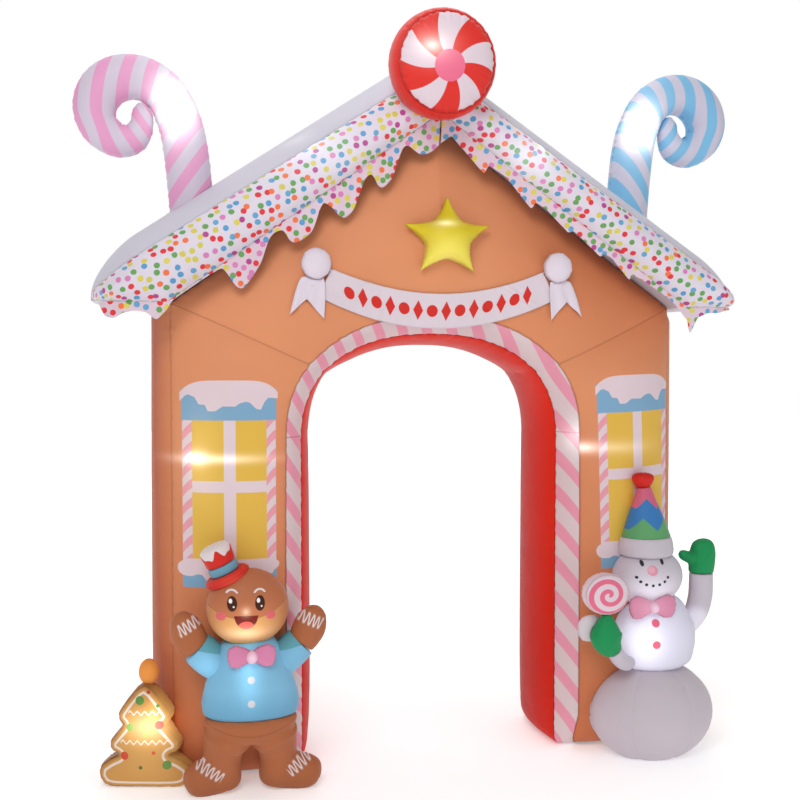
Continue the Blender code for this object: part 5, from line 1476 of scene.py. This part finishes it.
# %% His finishes
MAN_BROWN, ICING_WHITE = (178, 106, 68), (226, 214, 214)
vest_cloth = Finish("vest_blue_cloth", (132, 192, 224), 0.48)
# Painted shade: the vest darker towards its foot, away from its lamp.
vest_cloth.print_or_painted_light((88, 150, 186), vest_cloth.z.rise(0.38, 0.26) * 0.8)
for height in (0.423, 0.343):
    stamp(vest_cloth, (206, 208, 212), spot(vest_cloth, MAN_X - 0.002, height, 0.0125),
          (MAN_Y - vest_cloth.y).inside(0.01))
vest_cloth.lamp((-0.700, -0.285, 0.450), 0.050, (0.9, 1.0, 1.0), (0.75, 2.0, 1.9), 1.8, 0.9,
                dyed=0.75)
vest_cloth.done()
dress(vest, vest_cloth.material, "vest_blue", "man_vest")
leg_cloth = Finish("leg_biscuit", MAN_BROWN, 0.50)
# Painted shade: the legs darker in their last few centimetres above the floor.
leg_cloth.print_or_painted_light((150, 88, 54), leg_cloth.z.rise(0.07, 0.0) * 0.6)
for at, tilt in (((-0.826, 0.092), -34.0), ((-0.520, 0.096), 37.0)):
    wave = icing_wave(leg_cloth, at[0], at[1], tilt, 0.096, 0.0190, 0.030, 0.0028)
    leg_cloth.print_or_painted_light(ICING_WHITE, wave.inside() * (MAN_Y + 0.05 - leg_cloth.y).inside(0.004))
# Painted shade in the crease where each leg meets the hips.
for side in (-1, 1):
    along_x = (leg_cloth.x - HIP_X) * float(side)
    hip = 0.224 + (along_x / 0.165) ** 2.0 * 0.048
    fold = (0.0026 - abs(leg_cloth.z - hip)).inside(0.0022) * along_x.rise(0.0, 0.002)
    leg_cloth.print_or_painted_light((134, 78, 48), fold * 0.45)
dress(legs, leg_cloth.done(seams=0.0), "man_biscuit", "man_legs")

# %% His head and face
HEAD_PLACE, HEAD_RADII = np.array((MAN_X - 0.006, MAN_Y - 0.010, 0.652)), (0.141, 0.104, 0.132)
man_head = ball("biscuit_head", HEAD_PLACE, HEAD_RADII, folds=0.0015)
press(man_head, vest, house)
face = Finish("biscuit_face", (184, 112, 76), 0.48)
FACE_X = HEAD_PLACE[0] - 0.012
before = (HEAD_PLACE[1] - 0.02 - face.y).inside(0.004)
cut = 0.632 + (face.x - FACE_X) * (face.x - FACE_X) * 2.6
to_side = abs(face.x - FACE_X) / 0.140
# Painted light: the chin panel below the cut is golden where the lamp inside shines through.
painted_chin_glow = (cut - face.z).inside(0.003) * (1.0 - to_side * to_side * 0.8) * before
face.print_or_painted_light((208, 158, 100), painted_chin_glow.high(0.0) * 0.85)
face.print_or_painted_light((134, 78, 46), (0.0012 - abs(cut - face.z)).inside(0.001) * before * 0.6)
for side in (-1, 1):
    eye_x = FACE_X + side * 0.046
    stamp(face, (66, 34, 24), spot(face, eye_x, 0.684, 0.0165, 0.0250), before)
    stamp(face, (244, 240, 238), spot(face, eye_x - 0.005, 0.693, 0.0058, 0.0078), before)
    stamp(face, (244, 240, 238), spot(face, eye_x + 0.005, 0.674, 0.0030), before)
    brow = 0.0030 - abs(spot(face, eye_x, 0.708, 0.0200))
    stamp(face, (232, 222, 220), brow.low(face.z - 0.7175), before)
    cheek = spot(face, FACE_X + side * 0.083, 0.641, 0.0165, 0.0145)
    stamp(face, (206, 96, 104), cheek, before)
mouth = spot(face, FACE_X, 0.648, 0.0400, 0.0500).low(0.6440 - face.z)
stamp(face, (110, 28, 24), mouth, before)
stamp(face, (226, 92, 84), mouth.low(spot(face, FACE_X, 0.603, 0.0270, 0.0215)), before)
face.lamp((-0.709, -0.275, 0.580), 0.024, (1.0, 0.94, 0.70), (2.6, 2.0, 0.9), 1.8, 0.50)
face.lamp((-0.709, -0.290, 0.657), 0.010, (1.0, 0.93, 0.70), (1.3, 2.0, 1.3), 1.6, 0.55)
face.lamp((-0.709, -0.275, 0.600), 0.085, (1.0, 1.0, 0.8), (1.2, 1.6, 0.8), 2.0, 1.0, dyed=0.75)
dress(man_head, face.done(seams=0.0), "man_biscuit", "man_head")

# %% His arms
SLEEVE_ROWS = ((0.085, 0.440, 0.040, 0.045), (0.110, 0.456, 0.058, 0.056),
               (0.150, 0.492, 0.062, 0.060),
               (0.176, 0.516, 0.058, 0.056))
HAND_ROWS = ((0.1775, 0.5180, 0.051, 0.050), (0.190, 0.534, 0.055, 0.051),
             (0.208, 0.566, 0.058, 0.050),
             (0.219, 0.604, 0.050, 0.044), (0.222, 0.628, 0.034, 0.032), (0.222, 0.640, 0.014,
                                                                          0.014))
sleeve_cloth = Finish("sleeve_blue", (132, 192, 224), 0.48)
shoulder = abs(sleeve_cloth.x - MAN_X) - 0.110
upper = (sleeve_cloth.z - 0.502 - shoulder * 0.25).inside(0.0012)
sleeve_cloth.print_or_painted_light((98, 166, 180), upper)
sleeve_cloth.lamp((-0.835, -0.235, 0.462), 0.050, (0.80, 0.95, 1.0), (1.0, 1.5, 1.0), 1.8, 0.9,
                  dyed=0.40)
sleeve_cloth.done()
hand_cloth = Finish("hand_biscuit", MAN_BROWN, 0.50)
for at, tilt in (((-0.893, 0.602), 29.0), ((-0.480, 0.600), -24.0)):
    wave = icing_wave(hand_cloth, at[0], at[1], tilt, 0.084, 0.0178, 0.030, 0.0028)
    hand_cloth.print_or_painted_light(ICING_WHITE, wave.inside() * (MAN_Y - hand_cloth.y).inside(0.004))
hand_cloth.done()
for word, side in SIDES:
    rows = [(MAN_X + side * out, MAN_Y + 0.005, z, half, deep) for out, z, half,
            deep in SLEEVE_ROWS]
    sleeve = tube("sleeve_" + word, rows, 34, 40, side_seams=0.002, end_folds=(0.003, 0.003),
                  wave=0.024,
                  seed=side)
    press(press(sleeve, vest, gap=-0.003), man_head, house)
    dress(sleeve, sleeve_cloth.material, "vest_blue", "man_sleeve_" + word)
    rows = [(MAN_X + side * out, MAN_Y + 0.005, z, half, deep) for out, z, half, deep in HAND_ROWS]
    hand = tube("hand_" + word, rows, 44, 40, side_seams=0.002, end_folds=(0.003, 0.001),
                wave=0.022,
                seed=side + 3)
    press(press(hand, sleeve, gap=-0.003), man_head, house)
    dress(hand, hand_cloth.material, "man_biscuit", "man_hand_" + word)

# %% His hat
HAT_PLACE, HAT_TILT = np.array((-0.763, -0.183, 0.757)), -24.0
BRIM = ((0.002, 0.015), (0.050, 0.016), (0.068, 0.016), (0.077, 0.009), (0.080, 0.0),
        (0.077, -0.009),
        (0.068, -0.016), (0.050, -0.018), (0.002, -0.018))
HAT_BAND = ((0.002, 0.0484), (0.047, 0.0484), (0.051, 0.0444), (0.051, 0.032), (0.050, 0.020),
            (0.047, 0.0164), (0.002, 0.0164))
CROWN_SIDE = ((0.002, 0.122), (0.033, 0.120), (0.049, 0.114), (0.055, 0.105), (0.0545, 0.093),
              (0.052, 0.075), (0.051, 0.0544), (0.047, 0.0488), (0.002, 0.0488))


def spun(name, profile, folds=0.0, at=0.0):
    """A profile of radius and height turned round the tilted hat's middle line, pleated near a
    height."""
    profile = np.array(profile)
    way = np.concatenate(([0.0], np.cumsum(np.linalg.norm(np.diff(profile, axis=0), axis=1))))
    steps = np.linspace(0, way[-1], 60)
    fine = np.column_stack([np.interp(steps, way, profile[:, side]) for side in (0, 1)])
    for _ in range(2):
        fine[1:-1] = (fine[:-2] + 2 * fine[1:-1] + fine[2:]) / 4
    angle = np.arange(96) * 2 * pi / 96
    local = np.stack((fine[:, :1] * np.cos(angle), fine[:, :1] * np.sin(angle),
                      fine[:, 1:] + 0 * angle), -1)
    away = np.abs(fine[:, 1:] - at) + 0 * angle
    if folds:
        local = gather(local, away, angle * 0.055 + 0 * away, folds, 0.010, 0.022, seed=5.0)
    lean = radians(HAT_TILT)
    tilted = np.stack((local[..., 0] * cos(lean) + local[..., 2] * sin(lean), local[..., 1],
                       local[..., 2] * cos(lean) - local[..., 0] * sin(lean)), -1) + HAT_PLACE
    return skin(name, tilted, closed=True, seam=away,
                fields={"hat_up": fine[:, 1:] + 0 * angle, "hat_turn": angle[None, :] + 0 * away})


brim = spun("hat_brim", BRIM, 0.003, 0.0)
press(brim, man_head, house)
hat_red = Finish("hat_red_cloth", (212, 44, 34), 0.44)
hat_red.lamp((-0.735, -0.262, 0.752), 0.040, (1.0, 0.25, 0.15), (1.6, 1.5, 0.6), 1.8, 0.16)
dress(brim, hat_red.done(), "hat_red", "man_hat_brim")
teal = Finish("hat_teal_cloth", (110, 162, 184), 0.46)
dress(spun("hat_band", HAT_BAND), teal.done(seams=0.0), "hat_teal", "man_hat_band")
crown_cloth = Finish("hat_crown_cloth", (212, 44, 34), 0.44)
turn = crown_cloth.field("hat_turn")
drip = (turn * 5.0).sine() * 0.011 + (turn * 9.0).sine() * 0.006
crown_cloth.print_or_painted_light(ICING_WHITE, (crown_cloth.field("hat_up") + drip - 0.089).inside())
crown_piece = press(spun("hat_crown", CROWN_SIDE, 0.003, 0.111), house)
dress(crown_piece, crown_cloth.done(seams=0.0), "hat_red", "man_hat_crown")
make_bow("man", MAN_X, MAN_Y - 0.100, 0.503, 1.0, (222, 138, 176), 0.0, vest)


# %% [markdown]
# ## The snowman
# A ball, a torso and a head, one above the other, with a party hat, one arm up and the other bent
# round a lollipop. The ball is sewn from six gores. A lamp burns in the torso, so the cloth there
# is white and turns bluish towards its edges, while the unlit ball stays a warm grey.

# %% His body
SNOW_X, SNOW_Y = 0.832, -0.130
TORSO_ROWS = ((0.335, 0.112, 0.080, 0.004, 0.0), (0.358, 0.144, 0.100, 0.004, 0.0),
              (0.405, 0.157, 0.110, 0.004, 0.0), (0.450, 0.160, 0.114, 0.004, 0.0),
              (0.500, 0.152, 0.110, 0.000, 0.0), (0.550, 0.128, 0.094, -0.002, 0.0),
              (0.582, 0.098, 0.074, -0.006, 0.0), (0.598, 0.060, 0.050, -0.010, 0.0))
snow_ball = ball("snow_base", np.array((SNOW_X, SNOW_Y + 0.015, 0.162)), (0.240, 0.185, 0.192),
                 gores=6,
                 groove=0.0026, folds=0.004, seed=0.125)
on_floor(press(on_floor(snow_ball), house))
torso = tube("snow_body", upright(TORSO_ROWS, SNOW_X, SNOW_Y), 64, 64, side_seams=0.003,
             end_folds=(0.006, 0.004), wave=0.036, seed=1.7)
press(torso, snow_ball, house)
SNOW_HEAD, SNOW_HEAD_RADII = np.array((0.803, -0.135, 0.681)), (0.136, 0.108, 0.110)
snow_head = ball("snow_face", SNOW_HEAD, SNOW_HEAD_RADII, folds=0.0015)
press(snow_head, torso, house)

SNOW_CLOTH = (204, 196, 206)
ball_cloth = Finish("ball_grey", (204, 194, 202), 0.52)
dress(snow_ball, ball_cloth.done(seams=-0.30), "snow_white", "snow_ball")
torso_cloth = Finish("torso_lit", SNOW_CLOTH, 0.50)
front_of = (SNOW_Y - 0.02 - torso_cloth.y).inside(0.004)
for height in (0.522, 0.443):
    stamp(torso_cloth, (196, 86, 102), spot(torso_cloth, 0.795, height, 0.0145), front_of)
torso_cloth.lamp((0.755, -0.215, 0.450), 0.085, (0.94, 0.99, 1.0), (0.85, 1.6, 1.0), 2.0, 1.0,
                 dyed=0.95)
torso_cloth.lamp((0.810, -0.225, 0.460), 0.190, (0.66, 0.84, 1.0), (1.0, 1.4, 1.0), 3.0, 1.0,
                 dyed=0.55)
dress(torso, torso_cloth.done(), "snow_white", "snow_torso")

head_cloth = Finish("snow_face_cloth", SNOW_CLOTH, 0.50)
before = (SNOW_HEAD[1] - 0.02 - head_cloth.y).inside(0.004)
for x, z in ((0.746, 0.744), (0.822, 0.748)):
    stamp(head_cloth, (52, 48, 52), spot(head_cloth, x, z, 0.0070, 0.0108), before)
stamp(head_cloth, (216, 148, 164), spot(head_cloth, 0.779, 0.718, 0.0195, 0.0185), before)
stamp(head_cloth, (228, 168, 182), spot(head_cloth, 0.775, 0.722, 0.0130, 0.0115), before)
for number in range(7):
    turn = radians(200 + number * 23.0)
    at = (0.780 + 0.062 * cos(turn), 0.710 + 0.046 * sin(turn))
    stamp(head_cloth, (52, 48, 52), spot(head_cloth, *at, 0.0056), before)
head_cloth.lamp((0.775, -0.225, 0.632), 0.080, (0.90, 0.98, 1.0), (1.3, 1.6, 0.80), 1.9, 1.0,
                dyed=0.65)
dress(snow_head, head_cloth.done(seams=0.0), "snow_white", "snow_head")

# %% His hat
CONE_ROWS = ((0.832, 0.094, 0.797), (0.870, 0.080, 0.796), (0.930, 0.057, 0.793),
             (0.990, 0.034, 0.790),
             (1.014, 0.026, 0.788))
TUFT_ROWS = ((1.0144, 0.024, 0.786), (1.030, 0.036, 0.785), (1.048, 0.043, 0.784),
             (1.062, 0.038, 0.784),
             (1.070, 0.022, 0.784))
HAT_BAND_ROWS = ((0.752, 0.080, 0.798), (0.766, 0.102, 0.798), (0.794, 0.104, 0.797),
                 (0.822, 0.099, 0.797), (0.8316, 0.092, 0.797))


def stack(name, rows, count=40, **options):
    """A round stack over the head: rows are height, radius and x."""
    rows = [(x, SNOW_HEAD[1], z, radius, radius * 0.92) for z, radius, x in rows]
    return tube(name, rows, count, 56, **options)


hat_band = press(stack("party_band", HAT_BAND_ROWS, end_folds=(0.004, 0.003), wave=0.026),
                 snow_head, house)
plain_snow = Finish("snow_plain", SNOW_CLOTH, 0.52)
plain_snow.done()
dress(hat_band, plain_snow.material, "snow_white", "snow_hat_band")
cone = press(stack("party_cone", CONE_ROWS, 50, end_folds=(0.003, 0.002), wave=0.022), hat_band,
             house)
cone_cloth = Finish("cone_bands", (98, 164, 108), 0.46)
CONE_TILT = -0.024
away = cone_cloth.x - 0.790 - (cone_cloth.z - 0.93) * CONE_TILT
lower_edge = cone_cloth.z - (0.905 - (abs((away / 0.092 + 0.82).part() - 0.5) * 2.0) * 0.045)
upper_edge = cone_cloth.z - (0.938 + (abs((away / 0.075 + 1.10).part() - 0.5) * 2.0) * 0.038)
cone_cloth.print_or_painted_light((62, 124, 186), lower_edge.inside())
cone_cloth.print_or_painted_light((208, 102, 128), upper_edge.inside())
dress(cone, cone_cloth.done(seams=0.0), "cone", "snow_hat_cone")
tuft = press(stack("party_tuft", TUFT_ROWS, 36, end_folds=(0.007, 0.006), wave=0.020, seed=2.0),
             cone, house)
tuft_red = Finish("tuft_red", (212, 40, 34), 0.44)
dress(tuft, tuft_red.done(seams=0.0), "hat_red", "snow_hat_tuft")

# %% His arms and mittens
RAISED_ARM = ((0.940, -0.120, 0.455, 0.030, 0.030), (0.972, -0.120, 0.478, 0.040, 0.038),
              (1.012, -0.120, 0.524, 0.044, 0.042), (1.032, -0.120, 0.590, 0.046, 0.043),
              (1.034, -0.120, 0.676, 0.046, 0.042))
RAISED_MITTEN = ((1.034, -0.120, 0.6764, 0.050, 0.038), (1.036, -0.120, 0.710, 0.053, 0.040),
                 (1.040, -0.120, 0.760, 0.052, 0.038), (1.042, -0.120, 0.795, 0.040, 0.030),
                 (1.042, -0.120, 0.810, 0.016, 0.014))
THUMB = ((1.010, -0.120, 0.724, 0.024, 0.024), (0.980, -0.120, 0.740, 0.024, 0.023),
         (0.952, -0.120, 0.752, 0.019, 0.018), (0.940, -0.120, 0.756, 0.008, 0.008))
LOLLY_ARM = ((0.714, -0.185, 0.372, 0.024, 0.024), (0.688, -0.205, 0.374, 0.029, 0.029),
             (0.656, -0.222, 0.396, 0.030, 0.030), (0.632, -0.230, 0.428, 0.030, 0.030))
LOLLY_MITTEN = ((0.630, -0.230, 0.4284, 0.034, 0.032), (0.610, -0.232, 0.456, 0.053, 0.040),
                (0.598, -0.234, 0.488, 0.061, 0.043), (0.597, -0.236, 0.522, 0.046, 0.036),
                (0.598, -0.236, 0.556, 0.024, 0.022), (0.599, -0.236, 0.580, 0.007, 0.007))
arm_lit = Finish("arm_lit", SNOW_CLOTH, 0.50)
arm_lit.lamp((1.000, -0.155, 0.496), 0.052, (0.85, 0.95, 1.0), (1.0, 1.6, 1.1), 5.0, 0.9, dyed=0.55)
arm_lit.done()
green = Finish("mitten_green_cloth", (30, 148, 86), 0.50)
green.print_or_painted_light((30, 116, 68), green.noise(14.0, 2.0).rise(0.5, 0.75) * 0.5)
green.done(bump=1.6, seams=0.0)
raised = press(tube("arm_raised", RAISED_ARM, 50, 40, side_seams=0.002, end_folds=(0.003, 0.004),
                    wave=0.026),
               torso, house)
dress(raised, arm_lit.material, "snow_white", "snow_arm_right")
palm = tube("palm", RAISED_MITTEN, 50, 40, end_folds=(0.004, 0.001), wave=0.03)
mitten = swollen("mitten_raised", [palm, tube("thumb", THUMB, 30, 30)], limit=0.004)
dress(press(mitten, raised), green.material, "mitten_green", "snow_mitten_right")
bent = press(tube("arm_bent", LOLLY_ARM, 40, 36, side_seams=0.002, end_folds=(0.002, 0.003),
                  wave=0.022),
             torso, snow_ball)
dress(bent, plain_snow.material, "snow_white", "snow_arm_left")
holding = press(tube("mitten_holding", LOLLY_MITTEN, 50, 40, side_seams=0.003,
                     end_folds=(0.003, 0.001),
                     wave=0.03, seed=2.5), bent, torso)
dress(holding, green.material, "mitten_green", "snow_mitten_left")

# %% Lollipop and bow
LOLLIPOP_PLACE, LOLLIPOP_RADII = (0.592, -0.236, 0.644), (0.084, 0.074)
LOLLIPOP_GUSSET, LOLLIPOP_FACE = 0.040, 0.018
WRAP_ROWS = ((0.596, -0.200, 0.530, 0.020, 0.010), (0.572, -0.200, 0.522, 0.042, 0.016),
             (0.542, -0.200, 0.508, 0.050, 0.018), (0.514, -0.200, 0.496, 0.036, 0.014),
             (0.502, -0.200, 0.492, 0.012, 0.006))
lollipop = pillow("lollipop_disc", oval(*LOLLIPOP_RADII), LOLLIPOP_FACE, LOLLIPOP_PLACE,
                  gusset=LOLLIPOP_GUSSET, folds=0.0026, wave=0.018, rim=0.02, seed=3.0)
press(lollipop, holding, snow_head, house)
swirl_cloth = Finish("lollipop_swirl", (226, 208, 216), 0.44)
across, up = swirl_cloth.field("flat_x"), swirl_cloth.field("flat_z") * (0.082 / 0.073)
spoke = (across * across + up * up) ** 0.5
turns_in = spoke / 0.040 - up.angle(across) / (2 * pi)
coil = 0.24 - abs((turns_in + 0.35).part() - 0.5)
front_only = (LOLLIPOP_PLACE[1] - LOLLIPOP_GUSSET / 2 + 0.004 - swirl_cloth.y).inside(0.002)
swirl_cloth.print_or_painted_light((230, 112, 142), coil.inside(0.02) * (0.078 - spoke).inside() * front_only)
dress(lollipop, swirl_cloth.done(), "lollipop", "lollipop")
wrap = press(tube("wrapper_end", WRAP_ROWS, 40, 36, side_seams=0.002, end_folds=(0.002, 0.004),
                  wave=0.016),
             holding)
wrapper_cloth = Finish("wrapper_cloth", (218, 208, 214), 0.50)
dress(wrap, wrapper_cloth.done(), "wrapper", "lollipop_wrap", fill=0.6)
make_bow("snow", SNOW_X - 0.050, SNOW_Y - 0.098, 0.582, 1.13, (222, 142, 172), 0.16, torso,
         snow_head)


# %% [markdown]
# ## The little tree
# Two biscuit faces and a wall between their seams. The icing line runs a fixed distance inside the
# outline, so it reads the distance to the edge that the mesh carries. Dots and waves are printed
# by each point's own flat place, which stays right after the tree is turned.

# %% Tree
TREE_PLACE, TREE_YAW, TREE_HEART = (-1.036, -0.014), -14.0, (0.0, 0.150)
TREE_OUTLINE = ((0.000, 0.362), (0.030, 0.345), (0.066, 0.300), (0.092, 0.262), (0.090, 0.238),
                (0.070, 0.224), (0.094, 0.196), (0.124, 0.160), (0.118, 0.130), (0.084, 0.118),
                (0.122, 0.100), (0.158, 0.074), (0.162, 0.040), (0.146, 0.012), (0.116, 0.000),
                (0.000, 0.000))
TREE_FACE, TREE_GUSSET = 0.030, 0.066
tree_outline = finer(list(TREE_OUTLINE) + [(-x, z) for x, z in TREE_OUTLINE[-2:0:-1]], 7, 4)
tree = pillow("biscuit_tree", tree_outline, TREE_FACE, (*TREE_PLACE, 0.0), centre=TREE_HEART,
              gusset=TREE_GUSSET, yaw=TREE_YAW, folds=0.0028, wave=0.024, rings=30, rim=0.02,
              seed=1.0)
press(on_floor(tree), house)
bobble = ball("tree_bobble", np.array((TREE_PLACE[0] + 0.008, TREE_PLACE[1], 0.398)),
              (0.036, 0.034, 0.046),
              folds=0.003)
press(bobble, tree)
tree_cloth = Finish("tree_biscuit", (206, 150, 82), 0.48)
across, up = tree_cloth.field("flat_x"), tree_cloth.field("flat_z")
inset = tree_cloth.field("inset")
rim_shade = inset.rise(0.012, 0.001)
# Painted shade on the rim near the outline, and painted glow where the tree's lamp lights the rim on
# its right.
tree_cloth.print_or_painted_light((164, 108, 62), rim_shade)
tree_cloth.print_or_painted_light((212, 158, 84), rim_shade * tree_cloth.x.rise(-1.030, -0.985) * 0.9)
line = (0.0042 - abs(inset - 0.021)).inside()
tree_cloth.print_or_painted_light((232, 218, 206), line)


def flat_spot(x, z, size):
    """Metres inside a dot on the tree's own flat cloth."""
    return size - ((across - x) * (across - x) + (up - z) * (up - z)) ** 0.5


def flat_wave(z, start, end, wave, height):
    """Metres inside a wave of icing across the tree."""
    middle = (start + end) / 2
    curve = (across * (2 * pi / wave)).sine() * (height / 2)
    return (0.0023 - abs(up - z - curve) * 0.75).low((end - start) / 2 - abs(across - middle))


for z, start, end in ((0.268, -0.052, 0.066), (0.166, -0.080, 0.092)):
    tree_cloth.print_or_painted_light((232, 218, 206), flat_wave(z, start, end, 0.026, 0.0115).inside())
for x, z, size, colour in (
        (0.017, 0.338, 0.0060, (206, 48, 40)), (-0.012, 0.311, 0.0150, (84, 140, 66)),
        (0.050, 0.292, 0.0060, (84, 140, 66)), (-0.046, 0.218, 0.0135, (128, 168, 70)),
        (0.056, 0.226, 0.0145, (206, 48, 40)), (0.009, 0.192, 0.0065, (128, 168, 70)),
        (-0.066, 0.118, 0.0145, (206, 48, 40)), (0.037, 0.130, 0.0065, (206, 48, 40)),
        (0.082, 0.086, 0.0155, (84, 140, 66)), (-0.009, 0.078, 0.0065, (46, 92, 52))):
    tree_cloth.print_or_painted_light(colour, flat_spot(x, z, size).inside() * inset.rise(0.0, 0.001))
tree_cloth.lamp((-1.030, -0.085, 0.222), 0.080, (1.0, 0.98, 0.84), (1.05, 2.0, 0.72), 2.2, 1.0,
                dyed=1.5)
tree_cloth.lamp((-1.030, -0.085, 0.222), 0.050, (1.0, 0.97, 0.84), (1.1, 2.0, 0.8), 2.0, 0.42)
tree_cloth.lamp((-1.012, -0.080, 0.270), 0.030, (1.0, 0.97, 0.80), (0.8, 2.0, 1.4), 1.8, 0.9,
                dyed=1.2)
tree_cloth.lamp((-1.030, -0.080, 0.160), 0.140, (1.0, 0.74, 0.30), (0.8, 1.6, 1.0), 2.0, 0.14)
dress(tree, tree_cloth.done(), "tree_gold", "tree")
orange = Finish("bobble_orange", (226, 140, 62), 0.48)
orange.lamp((-1.030, -0.050, 0.395), 0.050, (1.0, 0.45, 0.12), (1.0, 1.0, 1.2), 2.0, 0.22)
dress(bobble, orange.done(seams=0.0), "ball_orange", "tree_ball")


# %% The two boxes: the CAD model's and the dressed model's
size = {"cad": cad_box, "visual": [list(corner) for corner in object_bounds()]}
